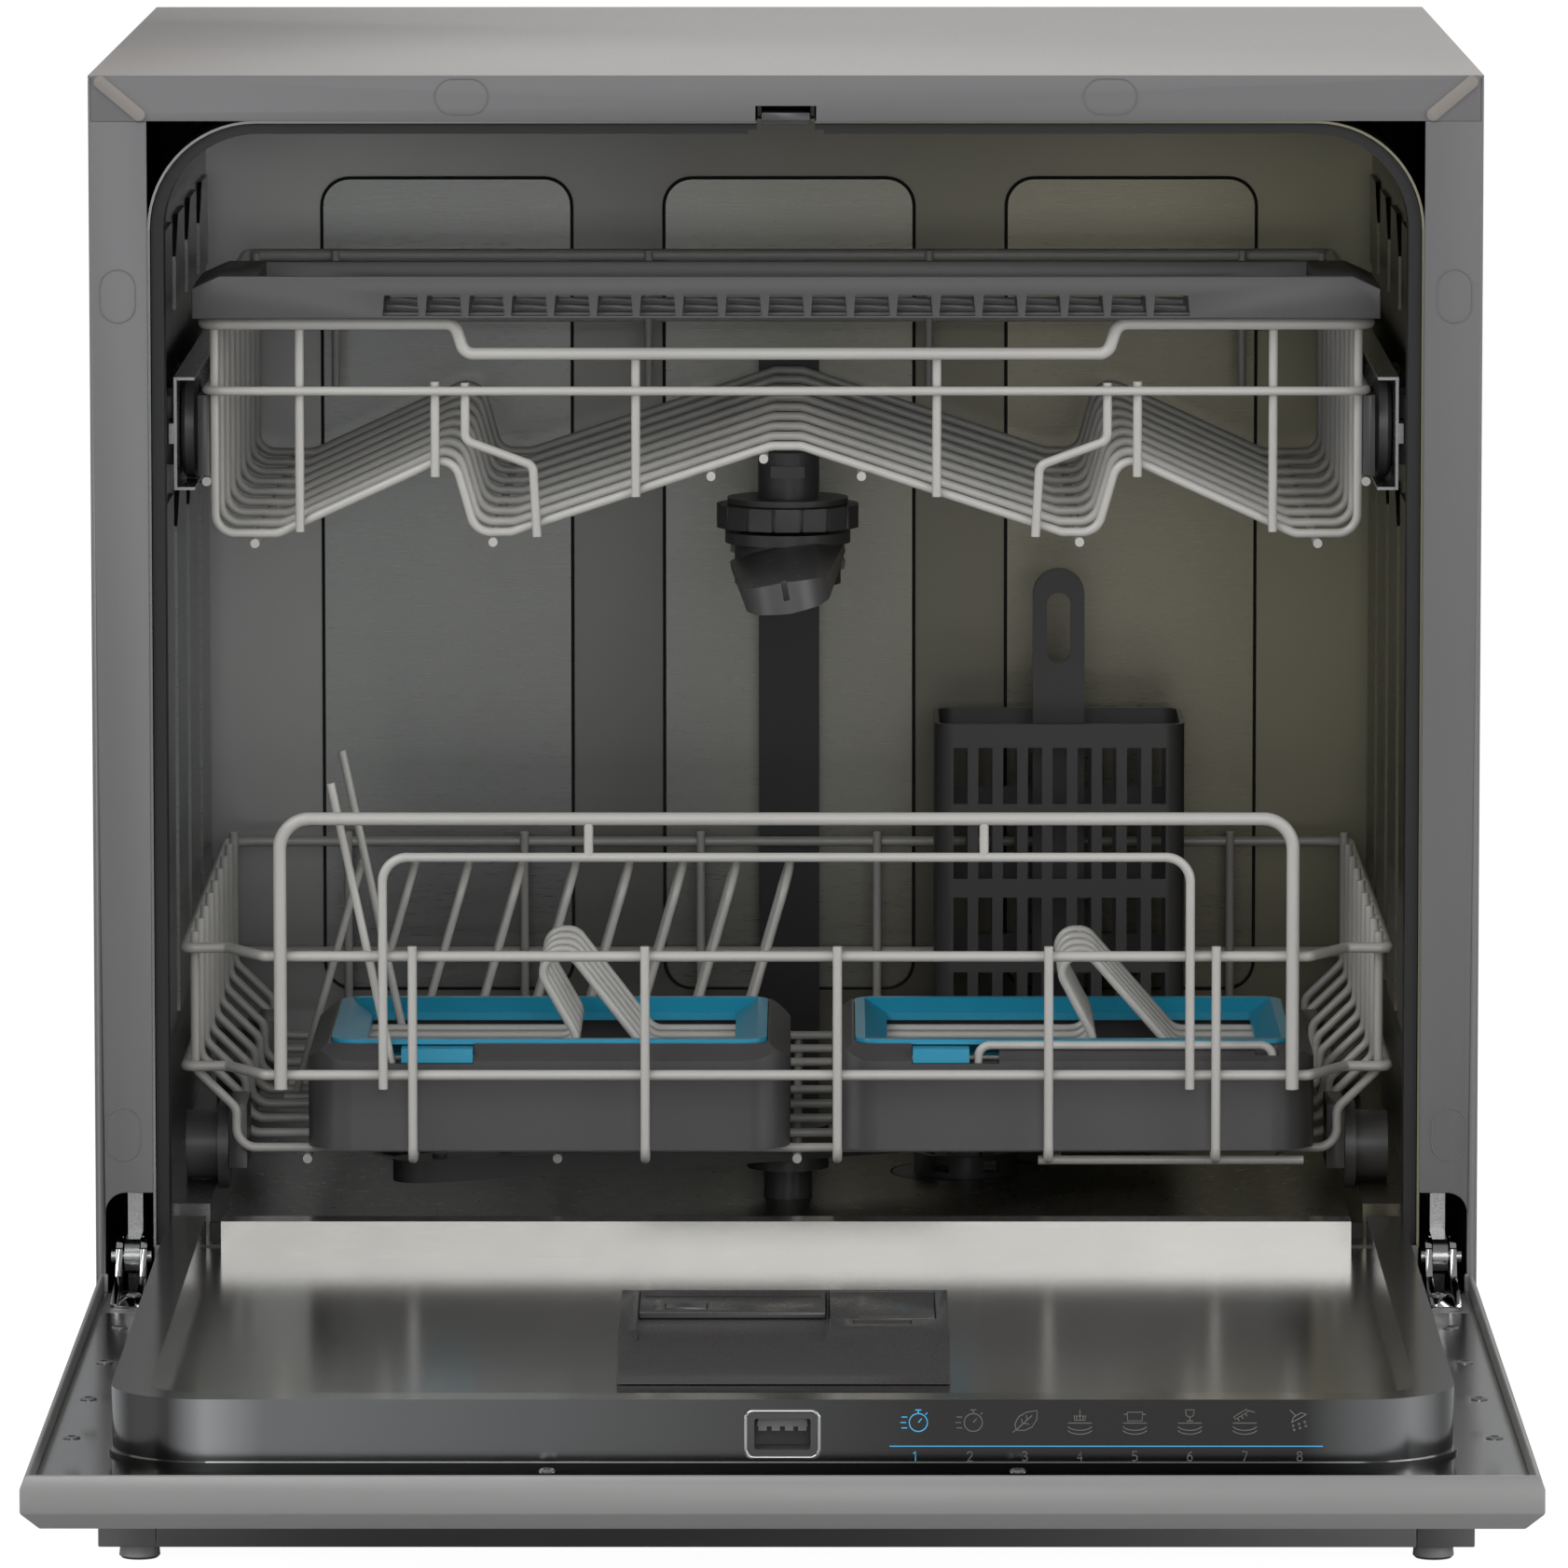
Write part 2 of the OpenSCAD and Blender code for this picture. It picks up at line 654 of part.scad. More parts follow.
module water_duct() {
    color(rubber) placed() {
        translate([-duct_w / 2, duct_front_y, tub_floor_z + near_gap])
            cube([duct_w, 18 - near_gap, feed_z + 24 - tub_floor_z]);
        // Collar that the upper rack's feed pipe docks into
        difference() {
            bar_y(dock_y, duct_front_y, 0, feed_z, 17);
            bar_y(dock_y - 1, duct_front_y + 1, 0, feed_z, 12.5);
        }
    }
}

module sump() {
    color(dark_grey) placed() difference() {
        union() {
            translate([filter_x, filter_y, 30]) cylinder(r = filter_r + 8, h = tub_floor_z - 31 - near_gap);
            translate([0, spray_y, 45]) cylinder(r = riser_r + 4, h = 40);
            translate([0, spray_y, 45]) cylinder(r = riser_r, h = riser_top - 45);
            translate([0, spray_y, riser_top]) cylinder(r = lower_pin_r, h = 15);
            translate([0, spray_y, 0]) rotate([0, 0, atan2(70, 75)]) translate([0, -12, 45]) cube([102, 24, 24]);
        }
        translate([filter_x, filter_y, 36]) cylinder(r = filter_r - 3, h = tub_floor_z);
        translate([filter_x, filter_y, tub_floor_z - 2 - near_gap]) cylinder(r = filter_r + 2, h = 10);
    }
}

// Cylindrical strainer with a twist handle
module filter() {
    color(dark_grey) placed() translate([filter_x, filter_y, 0]) {
        difference() {
            translate([0, 0, 48]) cylinder(r = filter_r - 6, h = tub_floor_z - 50);
            translate([0, 0, 52]) cylinder(r = filter_r - 8, h = tub_floor_z);
            for (i = [0 : 11]) rotate([0, 0, i * 30]) translate([filter_r - 12, -2.5, 58]) cube([10, 5, 36]);
        }
        translate([0, 0, tub_floor_z - 2]) difference() {
            cylinder(r = filter_r + 1, h = 2);
            translate([0, 0, -1]) cylinder(r = filter_r - 10, h = 4);
        }
        translate([0, 0, tub_floor_z]) difference() {
            cylinder(r = filter_r - 8, h = 9);
            translate([0, 0, -1]) cylinder(r = filter_r - 11, h = 11);
            for (i = [0 : 2]) rotate([0, 0, i * 60]) translate([-40, -4, 2]) cube([80, 8, 5]);
        }
    }
}

module wash_pump() {
    color(motor_grey) placed() translate([0, spray_y + 4, 51]) {
        bar_x(filter_x + filter_r + 8.3, 150, 60, 0, 30);
        bar_x(150, 212, 60, 0, 35);
        bar_x(212, 218, 60, 0, 18);
        translate([filter_x + filter_r + 8.3, 20, -8]) cube([18, 40, 16]);
    }
}

module drain_pump() {
    color(motor_grey) placed() translate([-12, filter_y, 48]) {
        bar_x(0, 48.5, 0, 0, 14);
        bar_x(-30, 0, 0, 0, 24);
        bar_x(-62, -30, 0, 0, 19);
    }
}

module softener() {
    color([0.75, 0.75, 0.74]) placed() difference() {
        union() {
            translate([-238, salt_y - 55, tray_z + base_wall + near_gap])
                linear_extrude(tub_floor_z - 22 - tray_z) translate([60, 55]) rounded(120, 110, 14);
            translate([salt_x, salt_y, 60]) cylinder(r = salt_r + 1, h = tub_floor_z - 60 + 2);
        }
        translate([salt_x, salt_y, 40]) cylinder(r = salt_r - 3, h = tub_floor_z);
    }
}

module salt_cap() {
    color(dark_grey) placed() translate([salt_x, salt_y, 0]) {
        translate([0, 0, tub_floor_z - 10]) cylinder(r = salt_r - 3.3, h = 12 + near_gap);
        translate([0, 0, tub_floor_z + 2 + near_gap]) cylinder(r = salt_r, h = 4);
        translate([-20, -3, tub_floor_z + 6]) cube([40, 6, 6]);
    }
}

module inlet_valve() {
    color(motor_grey) placed() {
        bar_y(tray_rear_y + 6, tray_rear_y + 6 + inlet_l, -inlet_x, pipe_z, inlet_r);
        bar_y(tray_rear_y - 10, tray_rear_y + 6, -inlet_x, pipe_z, inlet_r - 0.6);
        bar_y(tray_rear_y + near_gap, tray_rear_y + 6, -inlet_x, pipe_z, inlet_r + 4);
        translate([-inlet_x - 18, tray_rear_y - 42, pipe_z - 18]) cube([36, 32, 36]);
        translate([-217, tray_rear_y - 38, 64]) cube([24, 24, 14]);
    }
}

module drain_outlet() {
    color(dark_grey) placed() difference() {
        union() {
            bar_y(tray_rear_y + 2, tray_rear_y + 2 + drain_l, -drain_x, pipe_z, drain_r);
            bar_y(tray_rear_y, tray_rear_y + 2, -drain_x, pipe_z, drain_r + 5);
            bar_y(tray_rear_y - 30, tray_rear_y, -drain_x, pipe_z, drain_r + 0.6);
        }
        bar_y(tray_rear_y - 31, tray_rear_y + 3 + drain_l, -drain_x, pipe_z, drain_r - 2);
    }
}

module cord_gland() {
    color(rubber) placed() difference() {
        union() {
            bar_y(tray_rear_y - base_wall - 5, tray_rear_y + 7, cord_x, pipe_z, cord_r + 5);
            bar_y(tray_rear_y, tray_rear_y + 3, cord_x, pipe_z, cord_r + 9);
        }
        bar_y(tray_rear_y - base_wall - 6, tray_rear_y + 8, cord_x, pipe_z, cord_r);
    }
}

// Fixed half of each hinge, with the pin that the door turns on
module hinge_brackets() {
    x = open_x + 5.5;
    color(bright_steel) placed() both_sides() {
        translate([x, hinge_y, 0]) rotate([90, 0, 90]) linear_extrude(6) {
            translate([0, hinge_z]) circle(7);
            translate([0, hinge_z - 7]) square([30, 14]);
            translate([20, hinge_z - 20]) square([40, 60]);
        }
        bar_x(open_x + 1, open_x + 17, hinge_y, hinge_z, hinge_pin_r);
        translate([x + 6, hinge_y + 20, hinge_z - 20]) cube([sheet_x - x - 6, 40, 3]);
    }
}

// Guide blocks on the tub's side walls, in which the rails' tongues run
module rail_guides() {
    x = rail_x + rail_t + near_gap;
    color(dark_grey) placed() both_sides() for (y = [rail_front_y + 18, rail_front_y + 140]) difference() {
        translate([x, y, roller_z - 14]) cube([tub_x - x, 34, 28]);
        translate([x - 1, y - 1, roller_z - tongue_h / 2 - near_gap])
            cube([tongue_w + 1 + 0.2, 36, tongue_h + 2 * near_gap]);
    }
}

// Channel rails that carry the upper rack's wheels and run out with the rack, built up from strips
module upper_rails() {
    h = rail_inner_h / 2;
    l = rail_rear_y - rail_front_y;
    color(bright_steel) placed() both_sides() {
        translate([rail_x, rail_front_y, roller_z - h - rail_t]) cube([rail_t, l, 2 * (h + rail_t)]);
        for (z = [roller_z - h - rail_t, roller_z + h])
            translate([roller_x, rail_front_y, z]) cube([rail_x - roller_x - run_gap, l, rail_t]);
        translate([rail_x + rail_t + run_gap, rail_front_y, roller_z - tongue_h / 2])
            cube([tongue_w - run_gap, l, tongue_h]);
        // End stop at the rear
        translate([roller_x + 1, rail_rear_y - 3, roller_z - h + run_gap])
            cube([rail_x - roller_x - 1 - run_gap, 3, 2 * (h - run_gap)]);
    }
}

// Flat outline of one spray arm blade along X, from the hub to its round tip
module blade(root_w, tip_w, reach) {
    polygon([[0, -root_w / 2], [reach - tip_w / 2, -tip_w / 2], [reach - tip_w / 2, tip_w / 2], [0, root_w / 2]]);
    translate([reach - tip_w / 2, 0]) circle(d = tip_w);
}

module lower_spray_arm() {
    z = riser_top + 0.6;
    color(dark_grey) placed() translate([0, spray_y, z]) rotate([0, 0, 25]) difference() {
        union() {
            cylinder(r = 17, h = 18);
            for (a = [0, 180]) rotate([0, 0, a]) translate([0, 0, 5]) {
                linear_extrude(9) blade(34, 22, lower_spray_r);
                for (i = [1 : 5]) translate([10 + i * (lower_spray_r - 30) / 5, 0, 9]) cylinder(r = 3, h = 1.4);
            }
        }
        translate([0, 0, -1]) cylinder(r = lower_pin_r + run_gap, h = 16.5);
    }
}

// Door panel: a bevelled pan, drawn open and level
module door_panel() {
    w = cabinet_w;
    seat_z = liner_flange_z - 1;
    inner_x = half_w - door_wall;
    rear = door_rear_y;
    front = -door_reach;
    section = [[front, rim_z - 5], [front + 2, rim_z], [rear, rim_z], [rear, door_low_z],
        [front + door_bevel, door_low_z], [front, door_low_z + door_bevel]];
    color(panel_grey) placed() difference() {
        intersection() {
            translate([-half_w, 0, 0]) rotate([90, 0, 90]) linear_extrude(w) polygon(section);
            plate_y(front, rear - front)
                polygon([[-half_w, rim_z - 5], [2 - half_w, rim_z], [half_w - 2, rim_z], [half_w, rim_z - 5],
                    [half_w, door_low_z + door_bevel], [half_w - door_bevel, door_low_z],
                    [door_bevel - half_w, door_low_z], [-half_w, door_low_z + door_bevel]]);
        }
        translate([-inner_x, front + door_wall, seat_z]) cube([2 * inner_x, rear - front - 2 * door_wall, door_t]);
        // Hollow below the liner, kept solid at both rear corners where the hinge arms are fastened
        difference() {
            translate([-inner_x + 6, front + door_wall + 6, door_low_z + 1.5])
                cube([2 * (inner_x - 6), rear - front - 2 * door_wall - 12, door_t]);
            both_sides() translate([open_x + 1, rear - 64, 0]) cube([30, 64, seat_z]);
        }
        // Notches through which the hinge arms reach the cabinet
        both_sides() translate([open_x + 1, rear - door_wall - 1, seat_z]) cube([17, door_wall + 2, 20]);
    }
}

module liner_outline(x, front, rear, r) {
    translate([-x, front + r]) square([2 * x, rear - front - r]);
    translate([r - x, front]) square([2 * (x - r), r + 1]);
    for (s = [-1, 1]) translate([s * (x - r), front + r]) circle(r);
}

module door_liner() {
    t = tub_t;
    flange_x = half_w - door_wall - near_gap;
    color(bright_steel) placed() difference() {
        union() {
            // Wall, rim and foot flange
            translate([0, 0, liner_flange_z]) linear_extrude(liner_z - liner_flange_z)
                liner_outline(liner_x, liner_front_y, liner_rear_y, liner_r);
            translate([-flange_x, -door_reach + door_wall + near_gap, liner_flange_z - 1])
                cube([2 * flange_x, door_reach - 2 * door_wall - 2 * near_gap + door_rear_y, 1.4]);
            liner_rim_plate();
            // Bead round the foot of the wall
            translate([0, 0, rim_z - 2]) linear_extrude(3)
                liner_outline(liner_x + 1.5, liner_front_y - 1.5, liner_rear_y, liner_r + 1.5);
        }
        translate([0, 0, liner_flange_z - 2]) linear_extrude(dish_z - t - liner_flange_z + 2)
            liner_outline(liner_x - t, liner_front_y + t, liner_rear_y - t, liner_r - t);
        translate([0, 0, dish_z - t - 1]) linear_extrude(liner_dish + 1) difference() {
            liner_outline(liner_x - t, liner_front_y + t, liner_rear_y - t, liner_r - t);
            dish_shape(t);
        }
        translate([0, 0, dish_z]) linear_extrude(liner_dish + 1) dish_shape(0);
        // Opening for the detergent dispenser
        translate([-dispenser_w / 2 + 3, -dispenser_y - dispenser_l + 3, liner_flange_z])
            cube([dispenser_w - 6, dispenser_l - 6, liner_dish + 20]);
        // Opening for the latch
        translate([-lock_w / 2, liner_front_y - 3, lock_low]) cube([lock_w, 6, lock_high - lock_low]);
        // Notches beside the hinge arms
        both_sides() translate([open_x, -60, liner_flange_z - 2]) cube([18, 60, 4]);
    }
}

// Recess of the liner, grown by g, with ways through its rear rim for the flanges of the rack's wheels
module dish_shape(g) {
    rear = liner_rear_y - liner_rim;
    liner_outline(dish_x + g, liner_front_y + liner_rim - g, rear + g, liner_r - liner_rim + g);
    both_sides() translate([flange_way_x - g, rear - 10]) square([dish_x - flange_way_x + 2 * g, 10 - rear]);
}

// Flat rim that closes the liner's wall round the dished recess
module liner_rim_plate() {
    t = tub_t;
    translate([0, 0, liner_z - t]) linear_extrude(t) difference() {
        liner_outline(liner_x - t / 2, liner_front_y + t / 2, liner_rear_y - t / 2, liner_r - t / 2);
        dish_shape(t / 2);
    }
}

module control_board() {
    color(board_green) placed() {
        translate([25, liner_front_y + tub_t + near_gap, liner_flange_z + 3]) cube([185, 1.6, 24]);
        translate([40, liner_front_y + tub_t + near_gap + 1.6, liner_flange_z + 6]) cube([120, 6, 10]);
    }
}

// Bezel round the latch opening, with the toothed strike behind it
module latch_bezel() {
    w = lock_w - 2 * near_gap;
    h = lock_high - lock_low - 2 * near_gap;
    z = (lock_low + lock_high) / 2;
    color(chrome) placed() {
        difference() {
            union() {
                translate([0, liner_front_y, z]) rotate([90, 0, 0]) linear_extrude(1.2) rounded(lock_w + 4, h + 4, 3);
                translate([0, liner_front_y + 12, z]) rotate([90, 0, 0]) linear_extrude(12.5) rounded(w, h, 2);
            }
            translate([0, liner_front_y + 11, z]) rotate([90, 0, 0]) linear_extrude(20) rounded(w - 3, h - 3, 1);
        }
        for (i = [-2 : 2]) translate([i * 4 - 1, liner_front_y + 7, z + h / 2 - 4.5]) cube([2, 4.5, 3.5]);
    }
}

// Moving half of each hinge: two cheeks on the pin, joined to a foot inside the door
module hinge_arms() {
    foot_z = liner_flange_z - 1;
    color(chrome) placed() both_sides() difference() {
        union() {
            for (x = [open_x + 2.5, open_x + 12.2]) translate([x, hinge_y, 0]) rotate([90, 0, 90]) linear_extrude(2.5) {
                translate([0, hinge_z]) circle(8);
                polygon([[-4, hinge_z - 7.5], [4, hinge_z + 7], [-8, hinge_z + 4], [-14, foot_z + 8],
                    [-52, foot_z + 3], [-52, foot_z], [-8, foot_z]]);
            }
            translate([open_x + 2.5, hinge_y - 52, foot_z]) cube([12.2, 36, 2]);
        }
        bar_x(open_x, open_x + 18, hinge_y, hinge_z, hinge_pin_r + run_gap);
    }
}

// Detergent dispenser, drawn on the open door
module dispenser() {
    w = dispenser_w / 2;
    near = -dispenser_y;
    far = -dispenser_y - dispenser_l;
    top = dish_z + 15;
    color(dark_grey) placed() difference() {
        union() {
            translate([-w, 0, 0]) rotate([90, 0, 90]) linear_extrude(dispenser_w)
                polygon([[near, dish_z + near_gap], [near, top - 4], [near - 4, top], [far + 34, top], [far + 6, dish_z + 3],
                    [far, dish_z + near_gap]]);
            translate([-w + 3.5, far + 3.5, door_low_z + 4]) cube([dispenser_w - 7, dispenser_l - 7, dish_z - door_low_z - 3]);
        }
        // Detergent chamber under the sliding lid
        translate([-w + 9, near - 48, top - 26]) cube([67, 40, 40]);
        // Sunk track of the lid, open towards the far end
        translate([-w + 7, far + 26, top - 3]) cube([71, dispenser_l - 32, 4]);
        // Rinse aid chamber and the seat of its cap
        translate([22, near - 62, top - 22]) cube([32, 46, 40]);
        translate([17, near - 72, top - 3]) cube([40, 66, 4]);
        translate([26, near - 84, top - 5]) cube([22, 13, 6]);
    }
}

module detergent_lid() {
    near = -dispenser_y;
    top = dish_z + 15;
    color(dark_grey) placed() difference() {
        translate([-dispenser_w / 2 + 7 + near_gap, near - 56, top - 3 + near_gap]) cube([71 - 2 * near_gap, 49, 2.6]);
        translate([-dispenser_w / 2 + 17, near - 50, top - 4]) cube([16, 15, 6]);
    }
}

// Push button that frees the sliding lid
module lid_button() {
    color(dark_grey) placed() difference() {
        translate([-dispenser_w / 2 + 17 + near_gap, -dispenser_y - 50 + near_gap, dish_z + 15 - 1.2])
            cube([16 - 2 * near_gap, 15 - 2 * near_gap, 1.7]);
        translate([-dispenser_w / 2 + 25, -dispenser_y - 42.5, dish_z + 15 + 8]) sphere(8);
    }
}

module rinse_cap() {
    near = -dispenser_y;
    top = dish_z + 15;
    color(dark_grey) placed() {
        translate([17 + near_gap, near - 72 + near_gap, top - 3 + near_gap]) cube([40 - 2 * near_gap, 62, 2.7]);
        translate([26 + near_gap, near - 83, top - 3 + near_gap]) cube([22 - 2 * near_gap, 12, 2]);
        bar_x(17 + near_gap, 57 - near_gap, near - 9, top - 1.3, 1.3);
    }
}

// Floor of the lower rack: the feet of the U-shaped wires on lengthwise beams
module lower_rack_floor() {
    x = lower_foot_x;
    color(wire_grey) placed() {
        for (i = [0 : u_wires - 1])
            wire_xz(first_u_y + i * u_step,
                [[-x, split_z], [-x, lower_floor_z], [x, lower_floor_z], [x, split_z]], wire_d, 8);
        for (b = [-0.92, -0.44, 0.02, 0.52, 0.95])
            bar_y(first_u_y - 6, last_u_y + 4, b * (x - 12), beam_z, wire_d / 2);
    }
}

// Sides of the lower rack: the upper parts of the U-shaped wires with both rims
module lower_rack_sides() {
    color(wire_grey) placed() both_sides() {
        for (i = [0 : u_wires - 1])
            wire_xz(first_u_y + i * u_step,
                [[lower_side_x, lower_top_z + 6], [lower_side_x, knee_top_z], [lower_foot_x, knee_low_z],
                    [lower_foot_x, split_z]], wire_d, 6);
        for (z = [lower_rim_z, lower_top_z])
            bar_y(corner_y + 2, rack_rear_y - 16, lower_rim_x, z, rim_d / 2);
    }
}

// Front of the lower rack: both rims with their stepped corners, the uprights and the handle loops
module lower_rack_front() {
    half = [[lower_rim_x - 33, rack_front_y], [lower_rim_x - 17, corner_y - 1], [lower_rim_x, corner_y - 2],
        [lower_rim_x, corner_y + 2]];
    color(wire_grey) placed() {
        for (z = [lower_rim_z, lower_top_z]) wire_xy(z, mirrored(half), rim_d, 3.2);
        for (x = front_wires_x)
            wire_yz(x, [[front_wire_y, lower_top_z + 4.5], [front_wire_y, lower_floor_z],
                [first_u_y - wire_d / 2 - run_gap, lower_floor_z]], wire_d, 5);
        handle_loop(handle_x, handle_z, handle_d, 12);
        handle_loop(handle_x - 41, handle_z - 15.5, wire_d, 10);
        // Cross wire under the feet of the two uprights before the right tray
        bar_x(front_wires_x[3] - wire_d, lower_rim_x - 34, first_u_y - 12, lower_floor_z - wire_d + weld, wire_d / 2);
        for (x = [-79, 79])
            translate([x, handle_y, handle_z - 15.5]) cylinder(d = wire_d, h = 15.5);
    }
}

module handle_loop(x, z, d, bend) {
    wire_xz(handle_y, [[-x, lower_rim_z - 5], [-x, z], [x, z], [x, lower_rim_z - 5]], d, bend);
}

// Back of the lower rack
module lower_rack_back() {
    y = rack_rear_y;
    color(wire_grey) placed() {
        for (z = [lower_rim_z, lower_top_z])
            wire_xy(z, [[-lower_rim_x, y - 16], [-lower_rim_x, y], [lower_rim_x, y], [lower_rim_x, y - 16]], rim_d, 12);
        wire_y = y - (rim_d + wire_d) / 2 + weld;
        for (x = [-190, -114, -38, 38, 114, 190])
            wire_yz(x, [[wire_y, lower_top_z + 4.5], [wire_y, lower_floor_z],
                [last_u_y + wire_d / 2 + run_gap, lower_floor_z]], wire_d, 5);
    }
}

// Wires that hold the dishes: the combs of both trays, the row for plates and the tall tines
module plate_tines() {
    color(wire_grey) placed() {
        for (x = plate_tray_x) comb(x);
        // Hairpins of the left comb, leaning to the left
        for (i = [-2 : 2])
            translate([plate_tray_x[0], 0, 0]) wire_xz(plate_tray_y + i * arch_step,
                [[-comb_x - 4, arch_z], [15.4, arch_z], [-7.7, arch_top_z], [9.2, arch_top_z], [40.8, arch_z],
                    [comb_x + 4, arch_z]], tine_d, 7);
        // Wider arches of the right comb
        for (i = [-2 : 2])
            translate([plate_tray_x[1], 0, 0]) wire_xz(plate_tray_y + i * arch_step,
                [[-comb_x - 4, arch_z], [12.6, arch_z], [-8.7, arch_top_z], [7.4, arch_top_z], [43.2, arch_z],
                    [comb_x + 4, arch_z]], tine_d, 7);
        plate_row();
        tall_tines(plate_tray_x[0] + tall_x);
        front_loop(plate_tray_x[1] + loop_x[0], plate_tray_x[1] + loop_x[1]);
    }
}

// Raised rails of one comb on its cross bars
module comb(x) {
    for (s = [-1, 1])
        wire_yz(x + s * comb_x, [[comb_y[0], step_z - tine_d / 2], [comb_y[0], comb_z], [comb_y[1], comb_z],
            [comb_y[1], step_z - tine_d / 2]], tine_d, 6);
    for (y = comb_y) bar_x(x - comb_x - 6, x + comb_x + 6, y, base_z, tine_d / 2);
}

// Leaning arches on two cross bars
module plate_row() {
    for (y = row_y)
        bar_x(row_x - (row_count - 1) * row_step - 5, row_x + 5, y, base_z, tine_d / 2);
    for (i = [0 : row_count - 1])
        translate([row_x - i * row_step, 0, step_z - tine_d / 2 + sin(lean) * tine_d / 2]) rotate([0, lean, 0])
            wire_yz(0, [[row_y[0], 0], [row_y[0], row_l], [row_y[1], row_l], [row_y[1], 0]], tine_d, 14);
}

// Two tall tines for stemware on a lengthwise bar that lies on the rack's floor
module tall_tines(x) {
    front = plate_tray_y - plate_tray_l / 2 + loop_back;
    rear = plate_tray_y + 2 * arch_step + tine_d + 2 * run_gap;
    bar_y(front - tine_d / 2, comb_y[1] + 5, x, long_z, tine_d / 2);
    up = tine_d / 2 + 10 * run_gap;
    foot_x = x - tall_lean * up / (tall_top_z - long_z);
    for (y = [front, rear]) wire_xz(y, [[foot_x, long_z + up], [x - tall_lean, tall_top_z]], tine_d, 1);
}

// Loop that lies over the front shoulder of the right tray, on two lengthwise bars
module front_loop(x1, x2) {
    y = plate_tray_y - plate_tray_l / 2 + loop_back;
    slope = shoulder_h / shoulder_w;
    foot_z = long_z + tine_d / 2 + run_gap;
    top_z = plate_tray_z + plate_tray_h - shoulder_h + loop_back * slope
        + (tine_d / 2 + run_gap) * sqrt(1 + slope * slope);
    for (x = [x1, x2]) bar_y(y - tine_d / 2, comb_y[1] + 5, x, long_z, tine_d / 2);
    wire_xz(y, [[x1, foot_z], [x1, top_z], [x2, top_z], [x2, foot_z]], tine_d, 5);
}

// Four-sided funnel from w1 by l1 at z1 up to w2 by l2 at z2
module funnel(w1, l1, z1, w2, l2, z2) {
    intersection() {
        plate_y(-l2, 2 * l2) polygon([[-w1 / 2, z1], [w1 / 2, z1], [w2 / 2, z2], [-w2 / 2, z2]]);
        translate([-w2, 0, 0]) rotate([90, 0, 90]) linear_extrude(2 * w2)
            polygon([[-l1 / 2, z1], [l1 / 2, z1], [l2 / 2, z2], [-l2 / 2, z2]]);
    }
}

// Moulded trays round the combs, open below, with a sloping shoulder round the top
module plate_trays() {
    t = plate_tray_wall;
    w = plate_tray_w;
    l = plate_tray_l;
    h = plate_tray_h;
    low = h - shoulder_h;
    color(dark_grey) placed() for (k = [0, 1]) translate([plate_tray_x[k], plate_tray_y, plate_tray_z]) difference() {
        intersection() {
            linear_extrude(h) rounded(w, l, 18);
            plate_y(-l / 2, l)
                polygon([[-w / 2, 0], [w / 2, 0], [w / 2, low], [w / 2 - shoulder_w, h], [shoulder_w - w / 2, h],
                    [-w / 2, low]]);
            translate([-w / 2, 0, 0]) rotate([90, 0, 90]) linear_extrude(w)
                polygon([[-l / 2, 0], [l / 2, 0], [l / 2, low], [l / 2 - shoulder_w, h], [shoulder_w - l / 2, h],
                    [-l / 2, low]]);
        }
        translate([0, 0, -1]) linear_extrude(h + 2) rounded(insert_w, insert_l, 10);
        translate([0, 0, -1]) linear_extrude(low - t + 1) difference() {
            rounded(w - 2 * t, l - 2 * t, 18 - t);
            rounded(insert_w + 2 * t, insert_l + 2 * t, 10 + t);
        }
        // Notch for the insert's flap
        translate([notch_x[0], -l / 2 - 1, h - notch_h]) cube([notch_x[1] - notch_x[0], 13, notch_h + 1]);
        // Slots under the frame for the bars of the tall tines and of the front loop
        for (x = k == 0 ? [tall_x] : loop_x)
            translate([x - tine_d / 2 - 0.6, t - l / 2, -1]) cube([tine_d + 1.2, l, 2 + tine_d]);
        // Slots through the shoulder for the front loop's legs and for the leaning tine
        if (k == 1) for (x = loop_x)
            translate([x - tine_d / 2 - (x > 0 ? 5.6 : 0.6), loop_back - l / 2 - tine_d / 2 - 0.6, low - t - 1])
                cube([tine_d + 6.2, tine_d + 1.2, 20]);
        if (k == 0) {
            way = tall_lean * (h - 4) / (tall_top_z - long_z);
            translate([tall_x - way - tine_d / 2 - 1.6, loop_back - l / 2 - tine_d / 2 - 0.6, low - t - 1])
                cube([tine_d + 3.2, tine_d + 1.2, 20]);
        }
    }
}

